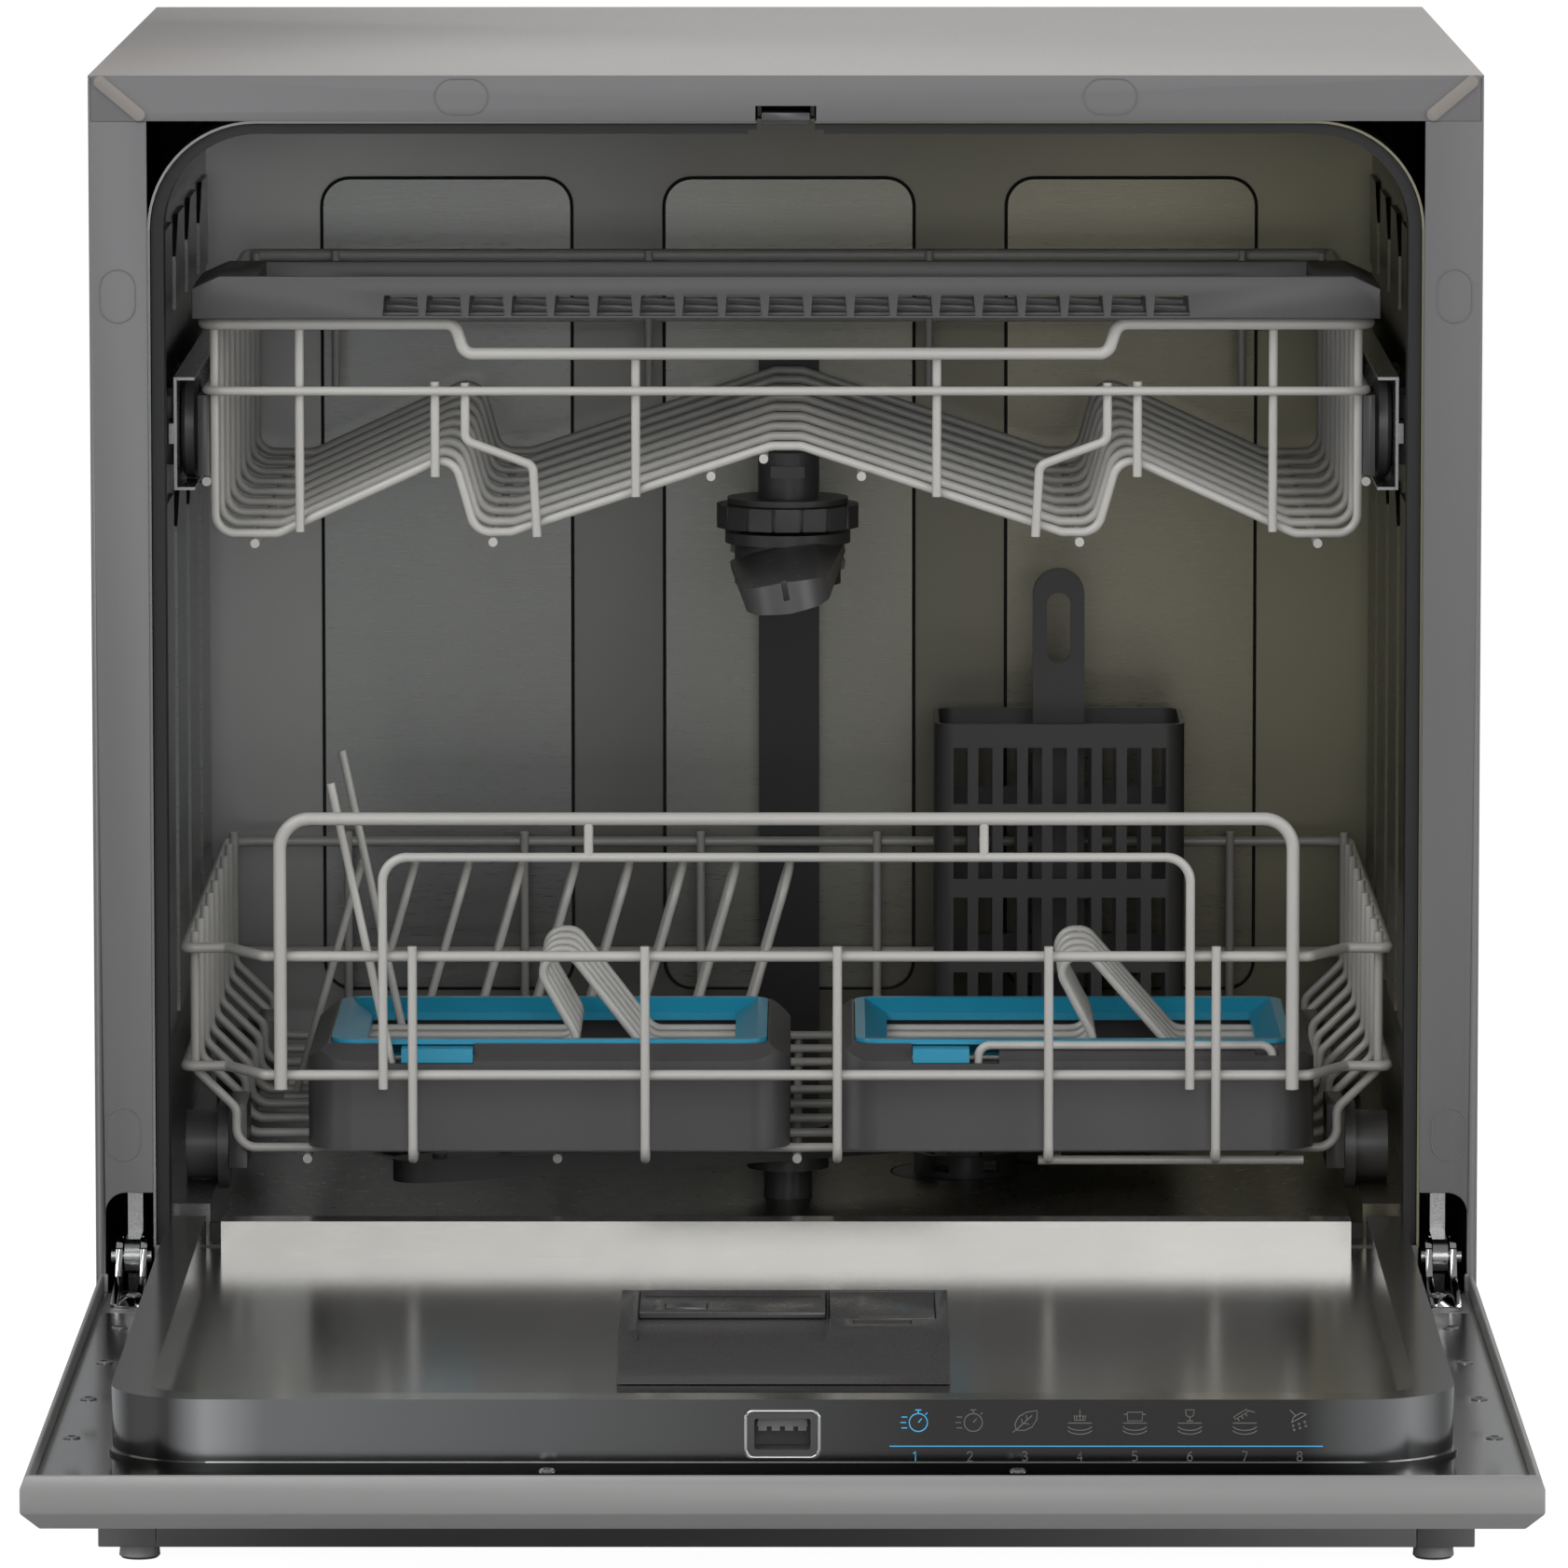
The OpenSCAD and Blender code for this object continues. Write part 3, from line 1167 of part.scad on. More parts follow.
// Coloured frames set into the trays: a sloping funnel, a short straight collar and a flap at the front
module tray_inserts() {
    t = insert_wall;
    w = insert_w - 2 * near_gap;
    l = insert_l - 2 * near_gap;
    in_w = w - 2 * funnel_w;
    in_l = l - 2 * funnel_w;
    color(insert_blue) placed() for (k = [0, 1])
        translate([plate_tray_x[k], plate_tray_y, plate_tray_z + plate_tray_h + insert_rise]) {
            difference() {
                union() {
                    translate([0, 0, -t]) linear_extrude(t) rounded(w, l, 9.7);
                    funnel(in_w + 2 * t, in_l + 2 * t, -funnel_h - t, w - 6, l - 6, -t);
                    translate([0, 0, -insert_drop]) linear_extrude(insert_drop - funnel_h)
                        rounded(in_w + 2 * t, in_l + 2 * t, 2);
                }
                funnel(in_w, in_l, -funnel_h, w - 8, l - 8, 0);
                translate([-in_w / 2, -in_l / 2, -insert_drop - 1]) cube([in_w, in_l, insert_drop + 1]);
                linear_extrude(1) rounded(w - 8, l - 8, 1);
            }
            // Flap over the notch in the tray
            translate([flap_x[k][0], -plate_tray_l / 2 + 0.4, -notch_h - insert_rise + near_gap])
                cube([flap_x[k][1] - flap_x[k][0], 1.6, notch_h + insert_rise - near_gap - 3]);
            translate([flap_x[k][0], -plate_tray_l / 2 + 0.4, -3 - 1.2])
                cube([flap_x[k][1] - flap_x[k][0], 14, 1.6]);
        }
}

// Brackets clipped between two U-shaped wires, with the axle of each wheel
module wheel_brackets() {
    x = lower_foot_x - 4;
    color(dark_grey) placed() both_sides() for (y = [wheel_front_y, wheel_rear_y]) {
        l = u_step - wire_d - 2 * near_gap;
        translate([x, y - l / 2, wheel_z - 7]) cube([wheel_flange_x - near_gap - x, l, 26]);
        bar_x(x, wheel_x - 3.5, y, wheel_z, axle_r);
    }
}

// Wheel with a flange that runs beside the rim of the door liner, drawn for the right side
module wheel(y) {
    difference() {
        union() {
            bar_x(wheel_flange_x, wheel_x - wheel_w, y, wheel_z, wheel_flange_d / 2);
            bar_x(wheel_x - wheel_w, wheel_x, y, wheel_z, wheel_d / 2);
        }
        bar_x(wheel_flange_x - 1, wheel_x - 3, y, wheel_z, axle_r + run_gap);
        // Dished outer face
        difference() {
            bar_x(wheel_x - 2, wheel_x + 1, y, wheel_z, wheel_d / 2 - 2.5);
            bar_x(wheel_x - 3, wheel_x + 2, y, wheel_z, axle_r + 2.5);
        }
    }
}

module wheel_front_left() { color(dark_grey) placed() mirror([1, 0, 0]) wheel(wheel_front_y); }

module wheel_front_right() { color(dark_grey) placed() wheel(wheel_front_y); }

module wheel_rear_left() { color(dark_grey) placed() mirror([1, 0, 0]) wheel(wheel_rear_y); }

module wheel_rear_right() { color(dark_grey) placed() wheel(wheel_rear_y); }

// Basket for cutlery with slotted walls and a standing handle
module cutlery_basket() {
    z = plate_tray_z;
    t = 2;
    color(dark_grey) placed() translate([basket_x, basket_y, z]) {
        difference() {
            linear_extrude(basket_h) rounded(basket_w, basket_l, 8);
            translate([0, 0, t]) linear_extrude(basket_h) rounded(basket_w - 2 * t, basket_l - 2 * t, 6);
            for (i = [-4 : 4], j = [0 : 3])
                translate([i * 10.5 - 3, -basket_l / 2 - 1, 10 + j * 32]) cube([6, basket_l + 2, 24]);
            for (i = [-4 : 4], j = [-2 : 2]) translate([i * 10.5 - 3, j * 11 - 3, -1]) cube([6, 6, t + 2]);
        }
        difference() {
            translate([0, 4, t]) rotate([90, 0, 0]) linear_extrude(8) {
                translate([-11, 0]) square([22, 190]);
                translate([0, 190]) circle(11);
            }
            translate([0, 5, 178]) rotate([90, 0, 0]) linear_extrude(10) rounded(10, 30, 4.8);
            translate([-12, -5, -1 + t]) cube([24, 10, 1 - t]);
        }
    }
}

// Route of an upper rack floor wire's right half, from the middle peak to the side
slope_a = atan2(peak_z - upper_floor_z - 0.5, 110);
peak_x = 6;
upper_half = [[peak_x, slope_z(peak_x)], [110, upper_floor_z + 0.5], [124, upper_floor_z + 0.5],
    [133, upper_floor_z + 32], [203, upper_floor_z], [upper_side_x, upper_floor_z], [upper_side_x, upper_split_z]];

// Height of the middle slope of the upper rack's floor wires at x
function slope_z(x) = peak_z - tan(slope_a) * abs(x);

module upper_rack_floor() {
    under = upper_wire_d + run_gap;
    color(wire_grey) placed() {
        for (i = [0 : u_wires - 1])
            wire_xz(upper_first_y + i * upper_step, mirrored(upper_half), upper_wire_d, 8);
        for (x = [-5 * peak_x, -1.5 * peak_x, 5 * peak_x])
            bar_y(upper_first_y - 5, upper_last_y + 2, x, slope_z(x) - under / cos(slope_a), upper_wire_d / 2);
        for (s = [-1, 1]) {
            bar_y(upper_first_y - 5, upper_last_y + 3, s * 117, upper_floor_z + 0.5 - under, upper_wire_d / 2);
            bar_y(upper_first_y - 5, upper_last_y + 3, s * 212, upper_floor_z - under, upper_wire_d / 2);
        }
    }
}

module upper_rack_sides() {
    color(wire_grey) placed() both_sides() {
        for (i = [0 : u_wires - 1])
            translate([upper_side_x, upper_first_y + i * upper_step, upper_split_z])
                cylinder(d = upper_wire_d, h = upper_top_z - upper_split_z + 0.8);
        bar_y(rack_front_y + front_bend, upper_rear_y - rear_bend, upper_rim_x, upper_top_z, upper_rim_d / 2);
        bar_y(upper_mid_y + front_bend, upper_rear_y - rear_bend, upper_mid_x, upper_mid_z, upper_wire_d / 2);
        bar_y(upper_first_y - 3, upper_last_y + 3, upper_mid_x, upper_floor_z + 21, upper_wire_d / 2);
    }
}

// Front and back of the upper rack
module upper_rack_ends() {
    drop = 12;
    post_y = upper_vertical_y - weld / 2;
    top = mirrored([[128, upper_top_z - drop], [132, upper_top_z], [upper_rim_x - front_bend, upper_top_z]]);
    color(wire_grey) placed() {
        // Front, whose top rim steps down in the middle
        wire_xz(rack_front_y, top, upper_rim_d, 5);
        end_corners(rack_front_y, upper_rim_x, upper_top_z, upper_rim_d, front_bend);
        bar_x(front_bend - upper_mid_x, upper_mid_x - front_bend, upper_mid_y, upper_mid_z, upper_wire_d / 2);
        end_corners(upper_mid_y, upper_mid_x, upper_mid_z, upper_wire_d, front_bend);
        both_sides() {
            translate([194, post_y, upper_floor_z + 1]) cylinder(d = upper_wire_d, h = upper_top_z - upper_floor_z);
            translate([140, post_y, upper_floor_z + 23]) cylinder(d = upper_wire_d, h = 38);
            wire_xz(post_y, [[128, upper_mid_z + 3], [128, upper_mid_z - 20], [101, upper_mid_z - 30],
                [99.4, upper_floor_z - 1]], upper_wire_d, 4);
            translate([60, post_y, upper_floor_z + 15]) cylinder(d = upper_wire_d, h = upper_top_z - drop - upper_floor_z - 14);
        }
        // Back
        bar_x(rear_bend - upper_rim_x, upper_rim_x - rear_bend, upper_rear_y, upper_top_z, upper_rim_d / 2);
        end_corners(upper_rear_y, upper_rim_x, upper_top_z, upper_rim_d, -rear_bend);
        bar_x(rear_bend - upper_mid_x, upper_mid_x - rear_bend, upper_rear_y, upper_mid_z, upper_wire_d / 2);
        end_corners(upper_rear_y, upper_mid_x, upper_mid_z, upper_wire_d, -rear_bend);
        both_sides() for (x = [60, 194])
            translate([x, upper_rear_y - (upper_rim_d + upper_wire_d) / 2 + weld + 0.3, upper_floor_z + 27])
                cylinder(d = upper_wire_d, h = upper_top_z - upper_floor_z - 25);
    }
}

// Quarter bends of a level rim at both sides of an end, towards the rear or, with a negative bend, the front
module end_corners(y, x, z, d, bend) {
    r = abs(bend);
    both_sides() translate([x - r, y + bend, z]) mirror([0, bend > 0 ? 1 : 0, 0])
        rotate_extrude(angle = 90) translate([r, 0]) circle(d = d);
}

// Plates on the upper rack's sides with the pins of its wheels
module wheel_carriers() {
    x = upper_side_x + upper_wire_d / 2 + near_gap;
    z1 = upper_floor_z + 21 + upper_wire_d / 2 + near_gap;
    z2 = upper_mid_z - upper_wire_d / 2 - near_gap;
    color(dark_grey) placed() both_sides() for (y = [roller_front_y, roller_rear_y]) {
        translate([x, y - 24, z1]) cube([roller_x - near_gap - x, 48, z2 - z1]);
        bar_x(x, roller_x + roller_w - 0.5, y, roller_z, roller_pin_r);
    }
}

// Wheel of the upper rack, drawn for the right side
module roller(y) {
    difference() {
        translate([roller_x, y, roller_z]) rotate([0, 90, 0]) rotate_extrude()
            polygon([[0, 0], [roller_d / 2 - 2, 0], [roller_d / 2, 1.5], [roller_d / 2, roller_w - 1.5],
                [roller_d / 2 - 2, roller_w], [0, roller_w]]);
        bar_x(roller_x - 1, roller_x + roller_w + 1, y, roller_z, roller_pin_r + run_gap);
    }
}

module roller_front_left() { color(dark_grey) placed() mirror([1, 0, 0]) roller(roller_front_y); }

module roller_front_right() { color(dark_grey) placed() roller(roller_front_y); }

module roller_rear_left() { color(dark_grey) placed() mirror([1, 0, 0]) roller(roller_rear_y); }

module roller_rear_right() { color(dark_grey) placed() roller(roller_rear_y); }

// Pipe under the upper rack from the duct to the spray arm
module spray_feed() {
    color(dark_grey) placed() difference() {
        union() {
            bar_y(spray_y, dock_y - near_gap, 0, feed_z, feed_r);
            bar_y(dock_y - near_gap - 4, dock_y - near_gap, 0, feed_z, 16);
            translate([0, spray_y, nut_z + nut_h + near_gap]) cylinder(r = neck_r, h = feed_z - nut_z - nut_h);
            translate([0, spray_y, nut_z + nut_h + near_gap]) cylinder(r = disc_r, h = disc_t);
            // Flat pad on the front of the neck
            translate([-7, spray_y - neck_r - 0.6, feed_z - 10]) cube([14, 10, 5]);
            translate([0, spray_y, nut_z - 0.5]) cylinder(r = nut_bore_r - near_gap, h = nut_h + 2);
            translate([0, spray_y, upper_arm_z - upper_arm_h - 1]) cylinder(r = arm_pin_r, h = upper_arm_h + 4);
            translate([0, spray_y, upper_arm_z - upper_arm_h - 4]) cylinder(r = arm_pin_r + 3, h = 3);
        }
        bar_y(spray_y + 4, dock_y + 1, 0, feed_z, feed_r - 2);
    }
}

// Nut with wide flats and a groove between each two, which holds the upper spray arm's bearing
module hub_nut() {
    r = nut_d / 2;
    a = 360 / nut_flats;
    color(dark_grey) placed() translate([0, spray_y, nut_z]) linear_extrude(nut_h) difference() {
        polygon([for (i = [0 : nut_flats - 1]) [r * cos((i + 0.5) * a), r * sin((i + 0.5) * a)]]);
        circle(nut_bore_r);
        for (i = [0 : nut_flats - 1]) rotate([0, 0, (i + 0.5) * a]) translate([r - 1.2, -0.6]) square([3, 1.2]);
    }
}

// Section of the upper spray arm's blade, thin at its edges
module blade_section(w, h) {
    polygon([[-w / 2, -1], [-w / 4, -h * 0.42], [0, -h / 2], [w / 4, -h * 0.42], [w / 2, -1], [w / 2, 1],
        [w / 4, h * 0.42], [0, h / 2], [-w / 4, h * 0.42], [-w / 2, 1]]);
}

module upper_spray_arm() {
    h = upper_arm_h;
    reach = upper_spray_r;
    pitch = 9;
    color(dark_grey) placed() translate([0, spray_y, upper_arm_z - h]) difference() {
        union() {
            cylinder(r = 22, h = h - near_gap);
            translate([0, 0, h - 5]) cylinder(r = 26, h = 5 - near_gap);
            for (a = [0, 180]) rotate([0, 0, a]) translate([0, 0, h / 2]) rotate([0, -pitch, 0]) intersection() {
                rotate([90, 0, 0]) linear_extrude(reach) blade_section(52, 13);
                translate([0, 0, -h]) rotate([0, 0, -90]) linear_extrude(2 * h) blade(48, 34, reach - 0.5);
            }
        }
        translate([0, 0, -1]) cylinder(r = arm_pin_r + run_gap, h = h + 2);
        // Jets in the upper side, and a slot in each nose
        for (a = [0, 180]) rotate([0, 0, a]) translate([0, 0, h / 2]) rotate([0, -pitch, 0]) {
            for (i = [1 : 5]) translate([(i % 2 - 0.5) * 12, -18 - i * (reach - 40) / 5, 2]) cylinder(r = 1.4, h = h);
            translate([-1.2, -reach - 1, -1]) cube([2.4, 7, h]);
        }
    }
}

// Narrow cutlery tray that lies on the upper rack's top rims and slides back along them
module cutlery_tray() {
    t = cutlery_wall;
    x = cutlery_x;
    z = cutlery_z;
    l = tray_l;
    front = cutlery_front_y;
    pitch = 17;
    bevel = 11;
    color(dark_grey) placed() difference() {
        plate_y(front, l)
            polygon([[-x, z], [x, z], [x, z + tray_h - 5], [x - bevel, z + tray_h], [bevel - x, z + tray_h],
                [-x, z + tray_h - 5]]);
        translate([26 - x, front + t, z + t]) cube([2 * (x - 26), l - 2 * t, tray_h]);
        // Hollow ends, open below
        both_sides() translate([x - 24, front + t, z - 1]) cube([24 - t, l - 2 * t, tray_h - 5 - t + 1]);
        // Windows in the front and back walls and slots in the floor
        for (i = [-9 : 9]) {
            for (y = [front - 1, front + l - t - 1]) translate([i * pitch, 0, z + 1.3]) plate_y(y, t + 2)
                polygon([[-7.1, 0], [7.1, 0], [6.5, 8], [-6.5, 8]]);
            for (j = [0 : 1])
                translate([i * pitch - 7, front + 8 + j * (l - 10) / 2, z - 1]) cube([14, (l - 10) / 2 - 6, t + 2]);
        }
    }
}

top_panel();
side_panels();
rear_panel();
plinth();
base_tray();
feet();
tub_ceiling();
tub_sides();
tub_back();
tub_floor();
door_gasket();
door_catch();
water_duct();
sump();
filter();
wash_pump();
drain_pump();
softener();
salt_cap();
inlet_valve();
drain_outlet();
cord_gland();
hinge_brackets();
rail_guides();
upper_rails();
lower_spray_arm();
door_panel();
door_liner();
control_board();
latch_bezel();
hinge_arms();
dispenser();
detergent_lid();
lid_button();
rinse_cap();
lower_rack_floor();
lower_rack_sides();
lower_rack_front();
lower_rack_back();
plate_tines();
plate_trays();
tray_inserts();
wheel_brackets();
wheel_front_left();
wheel_front_right();
wheel_rear_left();
wheel_rear_right();
cutlery_basket();
upper_rack_floor();
upper_rack_sides();
upper_rack_ends();
wheel_carriers();
roller_front_left();
roller_front_right();
roller_rear_left();
roller_rear_right();
spray_feed();
hub_nut();
upper_spray_arm();
cutlery_tray();
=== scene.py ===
import json
import math

import bmesh
import bpy
from mathutils import Matrix, Vector


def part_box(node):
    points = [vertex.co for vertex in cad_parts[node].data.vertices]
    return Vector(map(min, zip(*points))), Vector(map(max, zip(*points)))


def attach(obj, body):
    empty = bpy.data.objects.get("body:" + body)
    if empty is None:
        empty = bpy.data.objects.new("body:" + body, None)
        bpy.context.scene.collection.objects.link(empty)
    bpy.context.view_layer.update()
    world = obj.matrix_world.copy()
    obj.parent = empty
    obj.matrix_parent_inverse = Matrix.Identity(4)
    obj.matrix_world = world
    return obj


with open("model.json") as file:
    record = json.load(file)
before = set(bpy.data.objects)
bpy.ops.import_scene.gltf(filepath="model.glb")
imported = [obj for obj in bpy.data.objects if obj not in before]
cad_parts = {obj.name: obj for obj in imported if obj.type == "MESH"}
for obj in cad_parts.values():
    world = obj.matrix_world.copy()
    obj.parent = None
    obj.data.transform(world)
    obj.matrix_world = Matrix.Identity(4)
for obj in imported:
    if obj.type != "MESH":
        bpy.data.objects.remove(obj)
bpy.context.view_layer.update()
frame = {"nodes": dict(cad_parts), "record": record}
nodes = frame["nodes"]

# Places in the frame, in metres: front plane of the cabinet and surfaces of the door
FRONT_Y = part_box("side_panels")[0].y
CABINET_LOW, CABINET_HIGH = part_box("side_panels")
DOOR_LOW, DOOR_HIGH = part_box("door_panel")
LINER_LOW, LINER_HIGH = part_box("door_liner")
MM = 0.001
STRIP_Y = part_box("latch_bezel")[0].y + 1.2 * MM

# Camera, found by fitting the cabinet's and the door's corners in the photograph
FRAME_PX = 1682
FOCAL_PX = 13043.7
CAMERA_X = 0.0150
CAMERA_BACK = 4.7882
CAMERA_Z = 0.8792
PITCH = 0.1177
YAW = -0.0033
ROLL = 0.0004


def camera():
    """Camera at the photograph's viewpoint."""
    data = bpy.data.cameras.new("camera")
    data.sensor_width = 36
    data.lens = FOCAL_PX / FRAME_PX * data.sensor_width
    data.clip_end = 60
    obj = bpy.data.objects.new("camera", data)
    ahead = Vector((math.sin(YAW) * math.cos(PITCH), math.cos(YAW) * math.cos(PITCH), -math.sin(PITCH)))
    right = Vector((math.cos(YAW), -math.sin(YAW), 0))
    up = right.cross(ahead)
    right, up = right * math.cos(ROLL) - up * math.sin(ROLL), right * math.sin(ROLL) + up * math.cos(ROLL)
    turn = Matrix((right, up, -ahead)).transposed().to_4x4()
    obj.matrix_world = Matrix.Translation((CAMERA_X, FRONT_Y - CAMERA_BACK, CAMERA_Z)) @ turn
    bpy.context.scene.collection.objects.link(obj)
    bpy.context.scene.camera = obj


def linear(value):
    """One sRGB channel from 0 to 255 as a linear value."""
    v = value / 255
    return v / 12.92 if v <= 0.04045 else ((v + 0.055) / 1.055) ** 2.4


def srgb(r, g, b):
    return (linear(r), linear(g), linear(b), 1)


# Materials

def new_material(name):
    """Empty node material with its shader and its output."""
    mat = bpy.data.materials.new(name)
    mat.use_nodes = True
    tree = mat.node_tree
    tree.nodes.clear()
    output = tree.nodes.new("ShaderNodeOutputMaterial")
    shader = tree.nodes.new("ShaderNodeBsdfPrincipled")
    tree.links.new(shader.outputs[0], output.inputs[0])
    return mat, tree, shader


def grain(tree, scale, stretch=(1, 1, 1), detail=4, roughness=0.55):
    """Noise in the piece's own coordinates, stretched where the surface is brushed."""
    place = tree.nodes.new("ShaderNodeTexCoord")
    mapping = tree.nodes.new("ShaderNodeMapping")
    mapping.inputs["Scale"].default_value = stretch
    noise = tree.nodes.new("ShaderNodeTexNoise")
    noise.inputs["Scale"].default_value = scale
    noise.inputs["Detail"].default_value = detail
    noise.inputs["Roughness"].default_value = roughness
    tree.links.new(place.outputs["Object"], mapping.inputs[0])
    tree.links.new(mapping.outputs[0], noise.inputs["Vector"])
    return noise.outputs[0]


def spread(tree, source, low, high, start=0.3, end=0.7):
    """Noise from start to end mapped onto the range from low to high."""
    node = tree.nodes.new("ShaderNodeMapRange")
    for socket, value in zip(("From Min", "From Max", "To Min", "To Max"), (start, end, low, high)):
        node.inputs[socket].default_value = value
    tree.links.new(source, node.inputs[0])
    return node.outputs[0]


def tint(tree, source, dark, light):
    """Colour between dark and light, by the noise."""
    ramp = tree.nodes.new("ShaderNodeValToRGB")
    ramp.color_ramp.elements[0].position = 0.3
    ramp.color_ramp.elements[0].color = dark
    ramp.color_ramp.elements[1].position = 0.7
    ramp.color_ramp.elements[1].color = light
    tree.links.new(source, ramp.inputs[0])
    return ramp.outputs[0]


def shade(color, share):
    return tuple(min(1, c * share) for c in color[:3]) + (1,)


def surface(name, color, rough, metal=0, change=0.06, fine=900, fine_bump=0.08, broad=9, stretch=(1, 1, 1),
            coat=0, coat_rough=0.1, rough_change=0.06, bump_size=0.0002, broad_stretch=(1, 1, 1)):
    """Material with a broad change of tone, a fine grain in roughness and bump, and an optional coat."""
    mat, tree, shader = new_material(name)
    cloud = grain(tree, broad, stretch=broad_stretch, detail=3)
    fleck = grain(tree, fine, stretch=stretch, detail=5)
    color_out = tint(tree, cloud, shade(color, 1 - change), shade(color, 1 + change))
    tree.links.new(color_out, shader.inputs["Base Color"])
    tree.links.new(spread(tree, fleck, rough - rough_change, rough + rough_change), shader.inputs["Roughness"])
    bump = tree.nodes.new("ShaderNodeBump")
    bump.inputs["Strength"].default_value = fine_bump
    bump.inputs["Distance"].default_value = bump_size
    tree.links.new(fleck, bump.inputs["Height"])
    tree.links.new(bump.outputs[0], shader.inputs["Normal"])
    shader.inputs["Metallic"].default_value = metal
    if coat:
        shader.inputs["Coat Weight"].default_value = coat
        shader.inputs["Coat Roughness"].default_value = coat_rough
    return mat


def blend_across(mat, stops, reach):
    """Paints reflection and shade into a material's tone by stops along x, from -reach to reach, on top of its clouds.
    """
    tree = mat.node_tree
    shader = next(n for n in tree.nodes if n.type == "BSDF_PRINCIPLED")
    clouds = shader.inputs["Base Color"].links[0].from_socket
    place = tree.nodes.new("ShaderNodeTexCoord")
    split = tree.nodes.new("ShaderNodeSeparateXYZ")
    ramp = tree.nodes.new("ShaderNodeValToRGB")
    tree.links.new(place.outputs["Object"], split.inputs[0])
    tree.links.new(spread(tree, split.outputs[0], 0, 1, -reach, reach), ramp.inputs[0])
    points = ramp.color_ramp.elements
    while len(points) < len(stops):
        points.new(0.5)
    for point, (at, color) in zip(points, stops):
        point.position = at
        point.color = color
    mix = tree.nodes.new("ShaderNodeMix")
    mix.data_type = "RGBA"
    mix.blend_type = "MULTIPLY"
    mix.inputs[0].default_value = 1
    tree.links.new(clouds, mix.inputs[6])
    tree.links.new(ramp.outputs[0], mix.inputs[7])
    tree.links.new(mix.outputs[2], shader.inputs["Base Color"])
    return mat


def glow(name, color, strength):
    """Glowing symbol of the control strip: lit in blue, or with a weak painted glow on the grey, unlit ones."""
    mat = surface(name, color, 0.4)
    shader = next(n for n in mat.node_tree.nodes if n.type == "BSDF_PRINCIPLED")
    shader.inputs["Emission Color"].default_value = color
    shader.inputs["Emission Strength"].default_value = strength
    return mat


PAINT = surface("paint_grey", srgb(117, 116, 117), 0.42, metal=0.2, change=0.02, fine=1400, fine_bump=0.05)
PAINT_TOP = surface("paint_top", srgb(142, 136, 131), 0.45, metal=0.1, change=0.02, fine=1400, fine_bump=0.05)
PAINT_DOOR = surface("paint_door", srgb(151, 150, 149), 0.42, metal=0.15, change=0.02, fine=1400, fine_bump=0.05)
# Tub steel with painted reflection and shade: its tone runs along x from lighter on the left to darker and warmer on
# the right.
TUB = blend_across(
    surface("tub_steel", (1, 1, 1, 1), 0.3, metal=1, change=0.12, fine=60, fine_bump=0.03,
            broad=5, stretch=(2, 2, 60), rough_change=0.04, broad_stretch=(1, 1, 0.12)),
    [(0, srgb(146, 148, 146)), (0.35, srgb(140, 141, 138)), (0.7, srgb(131, 128, 114)), (1, srgb(124, 121, 104))], 0.25)
# Darker copy of the tub steel: painted shade for the recessed plane of the back wall and for the ceiling, with painted
# reflection along x, lighter at both ends and darkest near the middle.
TUB_SHADED = blend_across(
    surface("tub_steel_shaded", (1, 1, 1, 1), 0.34, metal=1, change=0.12, fine=60, fine_bump=0.03,
            broad=5, stretch=(2, 2, 60), rough_change=0.04, broad_stretch=(1, 1, 0.12)),
    [(0, srgb(156, 157, 155)), (0.15, srgb(140, 141, 138)), (0.4, srgb(112, 111, 108)), (0.6, srgb(108, 106, 96)),
     (0.85, srgb(120, 117, 102)), (1, srgb(136, 133, 114))], 0.25)
LINER = surface("liner_steel", srgb(172, 171, 168), 0.17, metal=1, change=0.12, fine=60, fine_bump=0.02,
                broad=5, stretch=(1, 60, 60), rough_change=0.03, broad_stretch=(1, 0.3, 0.3))
# Steel of the liner's front face with painted reflections along x: bright highlights at both ends, with dark and bright
# bands near them, and darker towards the middle and right.
STRIP = blend_across(
    surface("strip_steel", (1, 1, 1, 1), 0.16, metal=1, change=0.03, fine=60, fine_bump=0.02, stretch=(1, 60, 60),
            rough_change=0.02),
    [(0, srgb(205, 206, 207)), (0.03, srgb(196, 197, 198)), (0.045, srgb(74, 74, 73)), (0.075, srgb(80, 80, 79)),
     (0.1, srgb(190, 191, 192)), (0.14, srgb(140, 141, 142)), (0.45, srgb(104, 104, 104)), (0.6, srgb(76, 76, 75)),
     (0.86, srgb(72, 72, 71)), (0.93, srgb(150, 151, 152)), (0.96, srgb(96, 96, 96)), (1, srgb(200, 201, 202))], 0.262)
STEEL = surface("bright_steel", srgb(168, 168, 168), 0.24, metal=1, change=0.04, fine=80, stretch=(40, 1, 40))
CHROME = surface("chrome", srgb(206, 206, 207), 0.08, metal=1, change=0.02, fine=500, rough_change=0.02)
RUBBER = surface("rubber", srgb(27, 27, 27), 0.6, change=0.15, fine=1800, fine_bump=0.2)
DUCT = surface("duct_black", srgb(30, 30, 30), 0.35, change=0.1, fine=1500, fine_bump=0.1)
PLASTIC = surface("dark_plastic", srgb(77, 75, 75), 0.4, change=0.05, fine=2200, fine_bump=0.14, coat=0.15,
                  coat_rough=0.25)
PLASTIC_SMOOTH = surface("smooth_plastic", srgb(72, 70, 70), 0.3, change=0.04, fine=1200, fine_bump=0.05, coat=0.3,
                         coat_rough=0.15)
WIRE = surface("coated_wire", srgb(194, 192, 187), 0.34, change=0.04, fine=700, fine_bump=0.1, coat=0.3,
               coat_rough=0.2)
BLUE = surface("blue_plastic", srgb(40, 155, 190), 0.32, change=0.05, fine=1500, fine_bump=0.08, coat=0.3,
               coat_rough=0.2)
